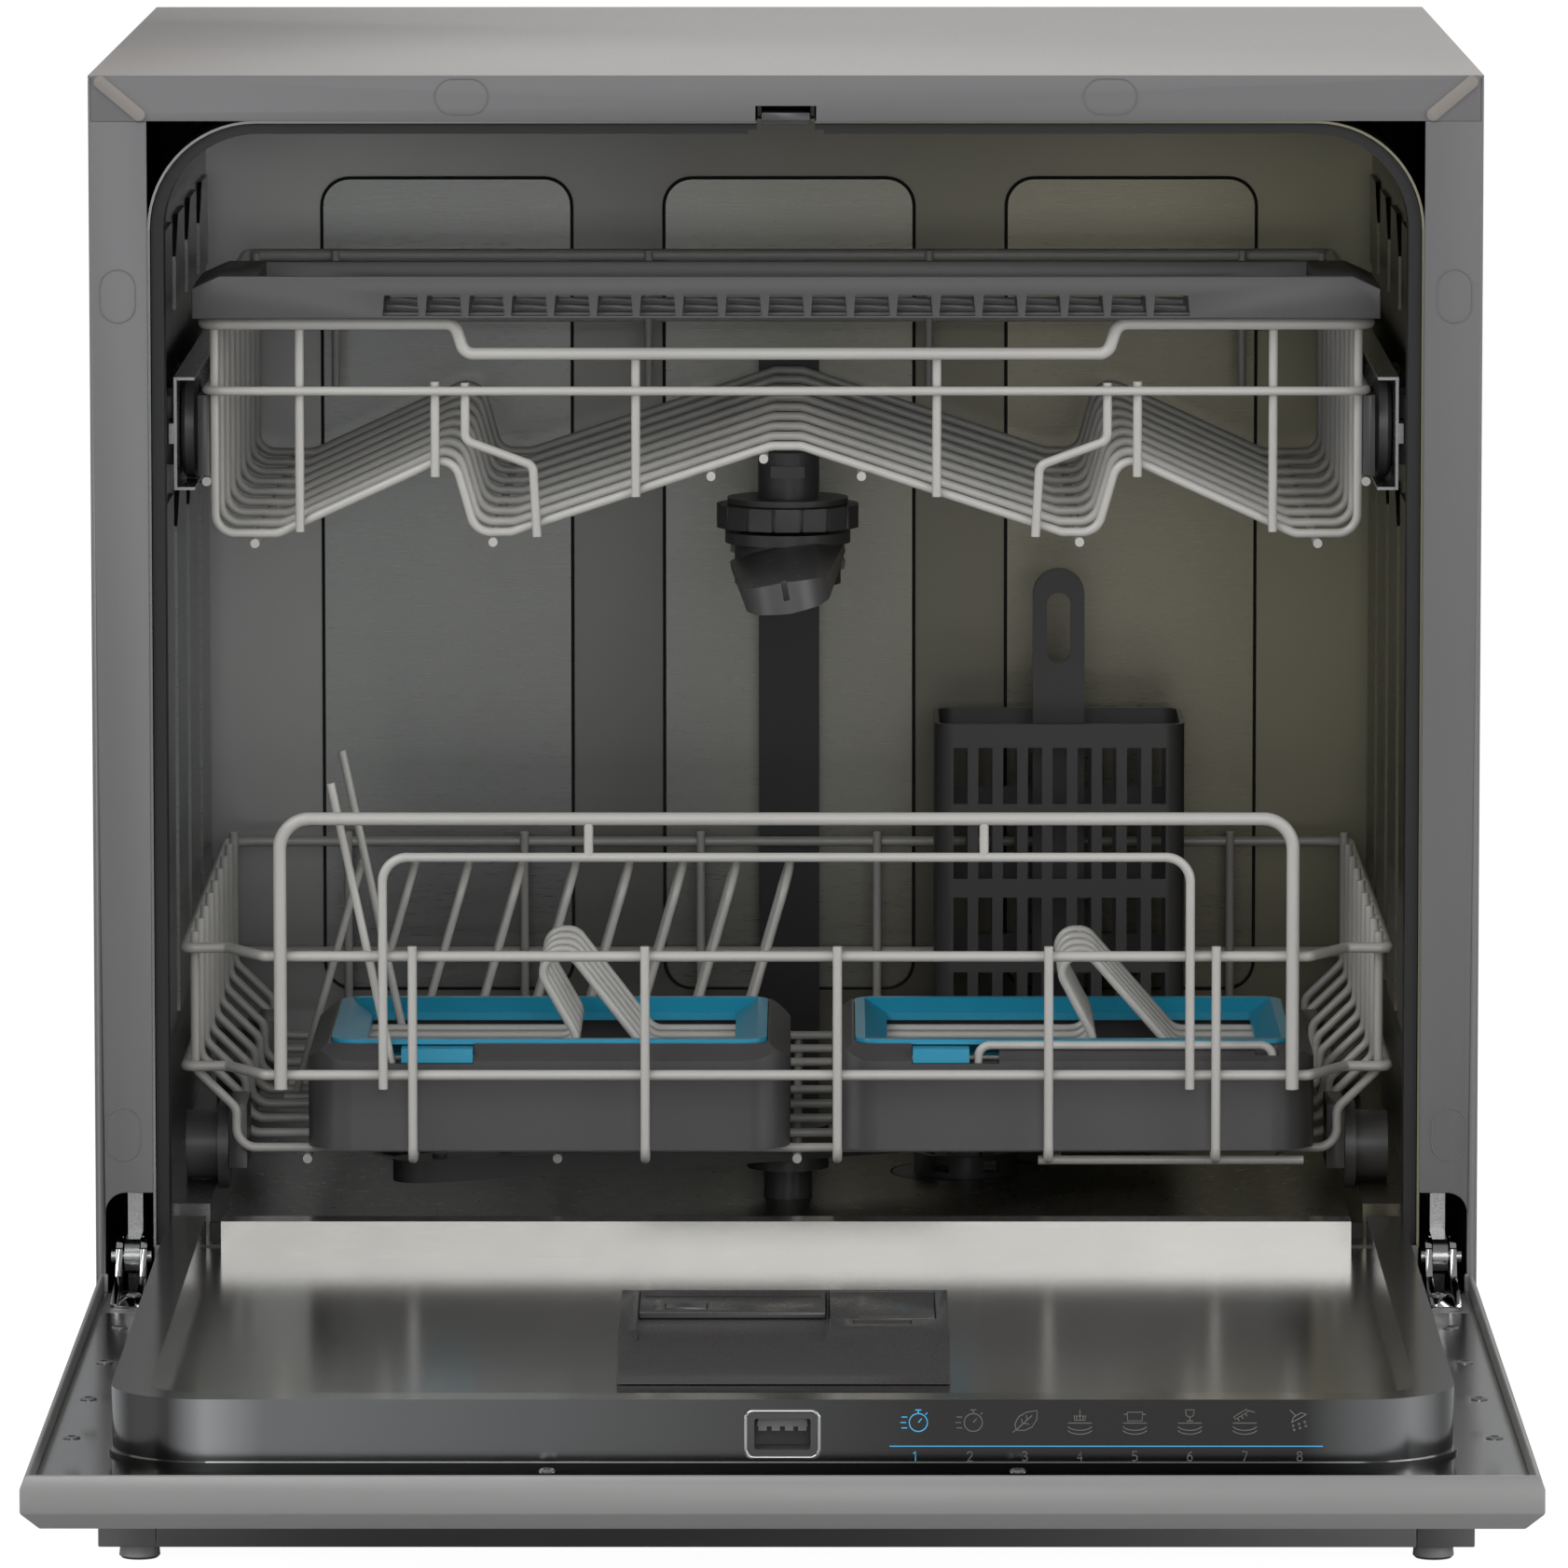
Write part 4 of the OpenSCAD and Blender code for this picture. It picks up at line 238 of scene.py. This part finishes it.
BOARD = surface("board", srgb(26, 70, 44), 0.4, change=0.1, fine=600, fine_bump=0.2)
LIGHT = surface("light_plastic", srgb(196, 195, 191), 0.4, change=0.03, fine=1600)
FOOT = surface("foot_plastic", srgb(160, 160, 162), 0.4, change=0.04, fine=1600)
TEETH = surface("latch_teeth", srgb(126, 126, 128), 0.4, change=0.04, fine=1600)
MOTOR = surface("motor_grey", srgb(124, 124, 125), 0.45, metal=0.4, change=0.05, fine=900)
# Painted shade, drawn as dark lines in gaps and along the edges of the pressed panels.
SHADOW = surface("painted_gap_shade", srgb(22, 22, 21), 0.7, change=0.1, fine=1200)
LIT_BLUE = glow("lit_blue", srgb(70, 165, 215), 0.5)
# The grey symbols are no lamp: their weak glow is painted light.
DIM_GREY = glow("dim_grey", srgb(112, 112, 110), 0.06)

FINISHES = {
    "painted_top": PAINT_TOP, "painted_grey": PAINT, "tub_steel": TUB, "liner_steel": LINER, "chrome": CHROME,
    "rubber": RUBBER, "dark_plastic": PLASTIC, "coated_wire": WIRE, "blue_plastic": BLUE, "board": BOARD,
    "light_plastic": LIGHT, "motor": MOTOR,
}
SPECIAL = {
    "door_panel": PAINT_DOOR, "hinge_brackets": STEEL, "upper_rails": STEEL, "water_duct": DUCT,
    "dispenser": PLASTIC_SMOOTH, "detergent_lid": PLASTIC_SMOOTH, "lid_button": PLASTIC_SMOOTH,
    "rinse_cap": PLASTIC_SMOOTH, "latch_bezel": PLASTIC, "hinge_arms": CHROME, "feet": FOOT,
    # Painted shade: the tub's ceiling gets the darker copy of the tub steel.
    "tub_ceiling": TUB_SHADED,
}
# Width of the softened edges, in millimetres
EDGES = {
    "top_panel": 0.5, "side_panels": 0.5, "door_panel": 0.6, "plinth": 0.3, "base_tray": 0.6, "dispenser": 0.8,
    "detergent_lid": 0.4, "rinse_cap": 0.4, "lid_button": 0.2, "wheel_brackets": 0.8, "wheel_carriers": 0.8,
    "rail_guides": 0.6, "cutlery_tray": 0.6, "hub_nut": 0.5, "door_catch": 0.4, "hinge_arms": 0.3,
}
SMOOTH_ANGLE = math.radians(28)


def soften(node, width):
    """Rounds the sharp edges of a carried-over solid, without touching its own mesh."""
    weld = node.modifiers.new("weld", "WELD")
    weld.merge_threshold = 0.00001
    edge = node.modifiers.new("edge", "BEVEL")
    edge.width = width * MM
    edge.segments = 2
    edge.limit_method = "ANGLE"
    edge.angle_limit = math.radians(32)
    edge.harden_normals = True
    edge.use_clamp_overlap = True


def dress_cad_nodes():
    """Gives every carried-over solid its material, smooth shading and soft edges."""
    for part in frame["record"]["subparts"]:
        obj = nodes[part["node"]]
        mat = SPECIAL.get(part["node"], FINISHES[part["material_slot"]])
        obj.data.materials.clear()
        obj.data.materials.append(mat)
        obj.data.shade_smooth()
        obj.data.set_sharp_from_angle(angle=SMOOTH_ANGLE)
        if part["node"] == "top_panel":
            paint(obj, PAINT, lambda at, way: way.y < -0.5 and FRONT_Y - 0.2 * MM < at.y < FRONT_Y + 4 * MM)
        if part["node"] == "tub_back":
            # Painted shade: the recessed plane of the back wall, behind its pressed panels, gets the darker copy of the
            # tub steel.
            paint(obj, TUB_SHADED, lambda at, way: at.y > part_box("tub_back")[0].y + 0.8 * MM)
        if part["node"] == "door_liner":
            # Painted reflections: the liner's front face gets the strip steel.
            paint(obj, STRIP, lambda at, way: way.y < -0.05 and at.y < STRIP_Y + 30 * MM and abs(way.z) < 0.8)
        if part["node"] == "feet":
            paint(obj, RUBBER, lambda at, way: at.z < 1.2 * MM)
        if part["node"] in EDGES:
            soften(obj, EDGES[part["node"]])


def paint(obj, mat, picks):
    """Second material on the faces that picks chooses by their centre and the way they look."""
    obj.data.materials.append(mat)
    turn = obj.matrix_world.to_3x3()
    for face in obj.data.polygons:
        face.material_index = int(picks(obj.matrix_world @ face.center, turn @ face.normal))


def add(obj, mat, body):
    """Links a finished piece, with its material and its body."""
    if obj.name not in bpy.context.scene.collection.objects:
        bpy.context.scene.collection.objects.link(obj)
    obj.data.materials.clear()
    obj.data.materials.append(mat)
    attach(obj, body)
    return obj


def strokes(name, lines, width, mat, body, sides=2):
    """Thin round lines through lists of points, closed where the last point repeats the first."""
    data = bpy.data.curves.new(name, "CURVE")
    data.dimensions = "3D"
    data.bevel_depth = width / 2
    data.bevel_resolution = sides
    data.use_fill_caps = True
    for line in lines:
        closed = (Vector(line[0]) - Vector(line[-1])).length < 1e-7 and len(line) > 2
        points = line[:-1] if closed else line
        spline = data.splines.new("POLY")
        spline.points.add(len(points) - 1)
        for p, at in zip(spline.points, points):
            p.co = (*at, 1)
        spline.use_cyclic_u = closed
    return add(bpy.data.objects.new(name, data), mat, body)


def mesh_piece(name, verts, faces, mat, body, smooth=False):
    data = bpy.data.meshes.new(name)
    data.from_pydata([tuple(v) for v in verts], [], faces)
    data.validate()
    if smooth:
        data.shade_smooth()
        data.set_sharp_from_angle(angle=SMOOTH_ANGLE)
    return add(bpy.data.objects.new(name, data), mat, body)


def oval(w, h, steps=10):
    """Points of an upright or level slot outline about the origin, first point repeated."""
    r = min(w, h) / 2
    points = []
    for i in range(4):
        cx = (w / 2 - r) * (1 if i in (0, 3) else -1)
        cy = (h / 2 - r) * (1 if i in (0, 1) else -1)
        for k in range(steps + 1):
            a = math.radians(90 * i + 90 * k / steps)
            points.append((cx + r * math.cos(a), cy + r * math.sin(a)))
    return points + points[:1]


def cabinet_marks():
    """Pressed outlines of the knock-out covers on the front flanges."""
    y = FRONT_Y - 0.1 * MM
    lines = []
    for side in (-1, 1):
        for x, z, w, h in ((127.8, 585.6, 21, 14), (263.8, 506.8, 14, 21), (263.8, 172.6, 14, 21)):
            lines.append([(side * x * MM + px * MM, y, z * MM + pz * MM) for px, pz in oval(w, h)])
    strokes("knockout_lines", lines, 0.5 * MM, PAINT, "cabinet")


def screws():
    """Socket-head screws along the rim of the door panel."""
    z = DOOR_HIGH.z
    places = []
    for side in (-1, 1):
        for i in range(5):
            places.append((side * (256.5 + 1.1 * i), -60 - 78 * i - 4 * i * i / 4))
        places.append((side * 85, -458))
    verts, faces = [], []
    for x, y in places:
        ring(verts, faces, Vector((x * MM, FRONT_Y + y * MM, z)))
    mesh_piece("rim_screws", verts, faces, STEEL, "door", smooth=True)


def ring(verts, faces, at, r=3.2 * MM, h=1.1 * MM, hole=1.6 * MM, deep=0.9 * MM, lobes=6):
    """Domed screw head with a six-lobed socket, standing on at."""
    steps = lobes * 6
    profile = ((r, 0), (r, h * 0.45), (r * 0.8, h), (None, h), (None, h - deep))
    start = len(verts)
    for radius, z in profile:
        for k in range(steps):
            a = 2 * math.pi * k / steps
            rr = radius if radius is not None else hole * (1 + 0.16 * math.cos(lobes * a))
            verts.append(at + Vector((rr * math.cos(a), rr * math.sin(a), z)))
    for j in range(len(profile) - 1):
        for k in range(steps):
            a, b = start + j * steps + k, start + j * steps + (k + 1) % steps
            faces.append((a, b, b + steps, a + steps))
    faces.append(tuple(start + (len(profile) - 1) * steps + k for k in range(steps)))


def flat(points, x, y, z):
    """Points of a drawing, in millimetres, set upright on the plane at y."""
    return [((x + px) * MM, y, (z + pz) * MM) for px, pz in points]


def arc(cx, cz, r, start=0, end=360, steps=20, squash=1):
    """Points of an arc in degrees about (cx, cz)."""
    return [(cx + r * math.cos(math.radians(start + (end - start) * k / steps)),
             cz + squash * r * math.sin(math.radians(start + (end - start) * k / steps))) for k in range(steps + 1)]


def mirrored(points):
    return [(-x, z) for x, z in points]


PLATES = [arc(0, -2.6, 4.6, 200, 340, 14, 0.45), arc(0, -1.2, 4.6, 200, 340, 14, 0.45), [(-4.3, -0.6), (4.3, -0.6)]]
STOPWATCH = [arc(1.2, -0.4, 3.3), [(1.2, 3), (1.2, 4)], [(0.1, 4.2), (2.3, 4.2)], [(1.2, -0.4), (2.5, 1.1)],
             [(3.8, 2.5), (4.5, 3.2)], [(-4.9, 1.6), (-2.8, 1.6)], [(-5.3, -0.4), (-3.2, -0.4)],
             [(-4.9, -2.4), (-2.8, -2.4)]]
LEAF = [[(-4.4, -4), (-2.6, -2.6), (0, -0.2), (2.6, 2.2)],
        [(-3.2, -3.2), (-3.6, -0.8), (-2.2, 1.8), (0.6, 3.4), (4.4, 4), (4.3, 0.8), (2.6, -2), (0, -3.3), (-3.2, -3.2)],
        [(-0.9, -1), (-1.2, 1)], [(0.7, 0.5), (0.6, 2.3)], [(-0.5, -0.7), (1.6, -1)]]
BRUSH = [[(-1.9, 0.4), (1.9, 0.4), (2.1, 2), (-2.1, 2), (-1.9, 0.4)], [(0, 2), (0, 4.2)],
         [(-1.2, 0.4), (-1.2, 2)], [(0, 0.4), (0, 2)], [(1.2, 0.4), (1.2, 2)]]
POT = [[(-2.8, 3.4), (-2.6, 0.2), (2.6, 0.2), (2.8, 3.4), (-2.8, 3.4)], [(-4, 2.6), (-2.8, 2.6)], [(2.8, 2.6), (4, 2.6)]]
GLASS = [[(-1.6, 4.3), (-1.3, 2.2), (0, 1.5), (1.3, 2.2), (1.6, 4.3), (-1.6, 4.3)], [(0, 1.5), (0, 0.2)],
         [(-1.2, 0.2), (1.2, 0.2)]]
CROSS_BRUSH = [[(-3.4, 0.8), (1.2, 3.6), (0.6, 4.5), (-4, 1.7), (-3.4, 0.8)], [(0.9, 4), (3.6, 3.4)],
               [(-2.6, 1.2), (-2, 0.2)], [(-1.2, 2), (-0.6, 1)], [(0.2, 2.9), (0.8, 1.9)]]
SHOWER = [[(-3.6, 4.2), (-1.4, 2)], [(-3, -0.4), (2.4, 2.6)], [(-3, -0.4), (-2.2, 1.6), (0.4, 3.2), (2.4, 2.6)]]
DROPS = [arc(-2.4 + 2.1 * (k % 3) + 0.4 * (k // 3), -1.6 - 1.5 * (k // 3) + 0.7 * (k % 3), 0.3, steps=8)
         for k in range(6)]
SYMBOLS = [STOPWATCH, STOPWATCH, LEAF, PLATES + BRUSH, PLATES + POT, PLATES + GLASS, PLATES + CROSS_BRUSH,
           SHOWER + DROPS]
# Plain numbers 1 to 8, one unit wide and 1.8 high
DIGITS = [
    [[(0.2, 1.4), (0.6, 1.8), (0.6, 0)]],
    [[(0, 1.35), (0.15, 1.68), (0.5, 1.8), (0.85, 1.68), (0.97, 1.3), (0.8, 0.95), (0, 0), (1, 0)]],
    [[(0, 1.65), (0.45, 1.8), (0.85, 1.6), (0.85, 1.15), (0.4, 0.95), (0.95, 0.7), (0.95, 0.2), (0.45, 0), (0, 0.15)]],
    [[(0.75, 0), (0.75, 1.8), (0, 0.55), (1, 0.55)]],
    [[(0.95, 1.8), (0.15, 1.8), (0.08, 1), (0.55, 1.12), (0.95, 0.85), (0.95, 0.25), (0.5, 0), (0, 0.15)]],
    [[(0.85, 1.78), (0.3, 1.35), (0.03, 0.6), (0.18, 0.12), (0.5, 0), (0.88, 0.15), (0.98, 0.55), (0.85, 0.95),
      (0.5, 1.08), (0.1, 0.85)]],
    [[(0, 1.8), (1, 1.8), (0.35, 0)]],
    [[(0.5, 0.97), (0.12, 1.2), (0.12, 1.6), (0.5, 1.8), (0.88, 1.6), (0.88, 1.2), (0.5, 0.97), (0.97, 0.7),
      (0.95, 0.2), (0.5, 0), (0.05, 0.2), (0.03, 0.7), (0.5, 0.97)]],
]


def control_strip():
    """Symbols of the programmes, the thin blue line and the numbers on the liner's front face."""
    y = STRIP_Y - 0.1 * MM
    lit, dim = [], []
    for k, symbol in enumerate(SYMBOLS):
        x = 48 + 19.9 * k
        (dim if k else lit).extend(flat(line, x, y, 133) for line in symbol)
        for line in DIGITS[k]:
            (dim if k else lit).append(flat([(1.9 * px - 0.95, 1.9 * pz) for px, pz in line], x, y, 118.5))
    strokes("symbols_lit", lit, 0.42 * MM, LIT_BLUE, "door", sides=1)
    strokes("symbols_dim", dim, 0.42 * MM, DIM_GREY, "door", sides=1)
    strokes("strip_line", [flat([(38.8, 123.9), (195.7, 123.9)], 0, y, 0)], 0.4 * MM, LIT_BLUE, "door",
            sides=1)


def tub_outlines():
    """Painted shade lines round the pressed panels of the tub's back wall."""
    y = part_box("tub_back")[0].y - 0.1 * MM
    lines = []
    for middle in (-147.3, 0, 147.3):
        low, high, half, r = 172, 523.8, 53.8, 12
        line = []
        for cx, cz, start in ((half - r, high - r, 0), (r - half, high - r, 90), (r - half, low + r, 180),
                              (half - r, low + r, 270)):
            line += arc(cx, cz, r, start, start + 90, 8)
        lines.append(flat(line + line[:1], middle, y, 0))
    strokes("back_panel_shade_lines", lines, 1.4 * MM, SHADOW, "cabinet")


def dispenser_marks():
    """Fine line of painted shade across the dispenser's lid, and the grip of its cap."""
    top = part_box("dispenser")[1].z
    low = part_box("detergent_lid")[0]
    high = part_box("detergent_lid")[1]
    z = high.z + 0.02 * MM
    # Painted shade line across the top of the lid.
    strokes("lid_shade_line", [[(low.x + 2 * MM, high.y - 13 * MM, z), (high.x - 2 * MM, high.y - 13 * MM, z)]], 0.5 * MM,
            SHADOW, "detergent_lid")
    cap_low, cap_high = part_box("rinse_cap")
    y = cap_low.y + 14.5 * MM
    middle = (cap_low.x + cap_high.x) / 2
    strokes("cap_grip", [[(middle - 9 * MM, y, top - 0.6 * MM), (middle + 9 * MM, y, top - 0.6 * MM)]], 2.4 * MM,
            PLASTIC_SMOOTH, "rinse_cap", sides=4)


def latch_details():
    """Chrome bead round the latch's cup and the toothed plate inside it."""
    low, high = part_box("latch_bezel")
    cz, half_w, half_h, r = (low.z + high.z) / 2 / MM, (high.x - low.x) / 2 / MM - 0.7, (high.z - low.z) / 2 / MM - 0.7, 3
    bead = []
    for sx, sz, start in ((1, 1, 0), (-1, 1, 90), (-1, -1, 180), (1, -1, 270)):
        bead += arc(sx * (half_w - r), cz + sz * (half_h - r), r, start, start + 90, 8)
    strokes("latch_bead", [flat(bead + bead[:1], 0, low.y + 0.1 * MM, 0)], 1.3 * MM, CHROME, "door", sides=4)
    y = low.y + 4 * MM
    top, foot = high.z - 3.2 * MM, high.z - 8.6 * MM
    line = [(-8.6 * MM, top), (-9.2 * MM, foot + 1.6 * MM)]
    for i in range(4):
        x = (-7.2 + 4.8 * i) * MM
        line += [(x - 1.5 * MM, foot + 1.6 * MM), (x - 1.5 * MM, foot), (x + 1.5 * MM, foot),
                 (x + 1.5 * MM, foot + 1.6 * MM)]
    line += [(9.2 * MM, foot + 1.6 * MM), (8.6 * MM, top)]
    n = len(line)
    verts = [(x, y, z) for x, z in line] + [(x, y + 1 * MM, z) for x, z in line]
    faces = [tuple(range(n)), tuple(range(2 * n - 1, n - 1, -1))]
    faces += [(k, (k + 1) % n, (k + 1) % n + n, k + n) for k in range(n)]
    mesh_piece("latch_plate", verts, faces, TEETH, "door")


# Stage and lights

def stage():
    """White floor that keeps a soft shadow, and soft studio light."""
    mat, tree, shader = new_material("floor")
    shader.inputs["Base Color"].default_value = (0.6, 0.6, 0.6, 1)
    shader.inputs["Roughness"].default_value = 0.8
    light = tree.nodes.new("ShaderNodeEmission")
    light.inputs[0].default_value = (1, 1, 1, 1)
    light.inputs[1].default_value = 1.25
    mix = tree.nodes.new("ShaderNodeMixShader")
    path = tree.nodes.new("ShaderNodeLightPath")
    share = tree.nodes.new("ShaderNodeMath")
    share.operation = "MULTIPLY"
    share.inputs[1].default_value = 0.78
    tree.links.new(path.outputs["Is Camera Ray"], share.inputs[0])
    tree.links.new(share.outputs[0], mix.inputs[0])
    tree.links.new(shader.outputs[0], mix.inputs[1])
    tree.links.new(light.outputs[0], mix.inputs[2])
    output = next(n for n in tree.nodes if n.type == "OUTPUT_MATERIAL")
    tree.links.new(mix.outputs[0], output.inputs[0])
    data = bpy.data.meshes.new("floor")
    size = 14
    data.from_pydata([(-size, -size, 0), (size, -size, 0), (size, size, 0), (-size, size, 0)], [], [(0, 1, 2, 3)])
    data.materials.append(mat)
    floor = bpy.data.objects.new("floor", data)
    bpy.context.scene.collection.objects.link(floor)

    world = bpy.data.worlds.new("world")
    bpy.context.scene.world = world
    world.use_nodes = True
    tree = world.node_tree
    tree.nodes.clear()
    out = tree.nodes.new("ShaderNodeOutputWorld")
    soft = tree.nodes.new("ShaderNodeBackground")
    soft.inputs[0].default_value = (0.9, 0.92, 0.95, 1)
    soft.inputs[1].default_value = 0.34
    white = tree.nodes.new("ShaderNodeBackground")
    white.inputs[0].default_value = (1, 1, 1, 1)
    white.inputs[1].default_value = 1
    path = tree.nodes.new("ShaderNodeLightPath")
    mix = tree.nodes.new("ShaderNodeMixShader")
    tree.links.new(path.outputs["Is Camera Ray"], mix.inputs[0])
    tree.links.new(soft.outputs[0], mix.inputs[1])
    tree.links.new(white.outputs[0], mix.inputs[2])
    tree.links.new(mix.outputs[0], out.inputs[0])


def lamp(name, at, target, size, power):
    data = bpy.data.lights.new(name, "AREA")
    data.shape = "RECTANGLE"
    data.size, data.size_y = size
    data.energy = power
    obj = bpy.data.objects.new(name, data)
    obj.location = at
    obj.rotation_euler = (Vector(target) - Vector(at)).to_track_quat("-Z", "Y").to_euler()
    bpy.context.scene.collection.objects.link(obj)


def lights():
    middle = (0, 0.1, 0.3)
    lamp("key", (-1.6, -2.2, 2.4), middle, (1.8, 1.8), 36)
    lamp("fill", (2.2, -2.0, 1.4), middle, (1.4, 2.0), 17)
    lamp("front", (0.2, -4.0, 1.3), (0, 0, 0.35), (1.6, 1.6), 20)
    lamp("rear", (0.6, 2.4, 2.0), middle, (2.2, 1.6), 22)
    for name, side in (("low_left", -1), ("low_right", 1)):
        lamp(name, (side * 1.1, -0.55, 0.3), (0, -0.45, 0.1), (0.7, 0.5), 2)


camera()
dress_cad_nodes()
cabinet_marks()
screws()
control_strip()
tub_outlines()
dispenser_marks()
latch_details()
stage()
lights()
bpy.context.scene.view_settings.view_transform = "Standard"
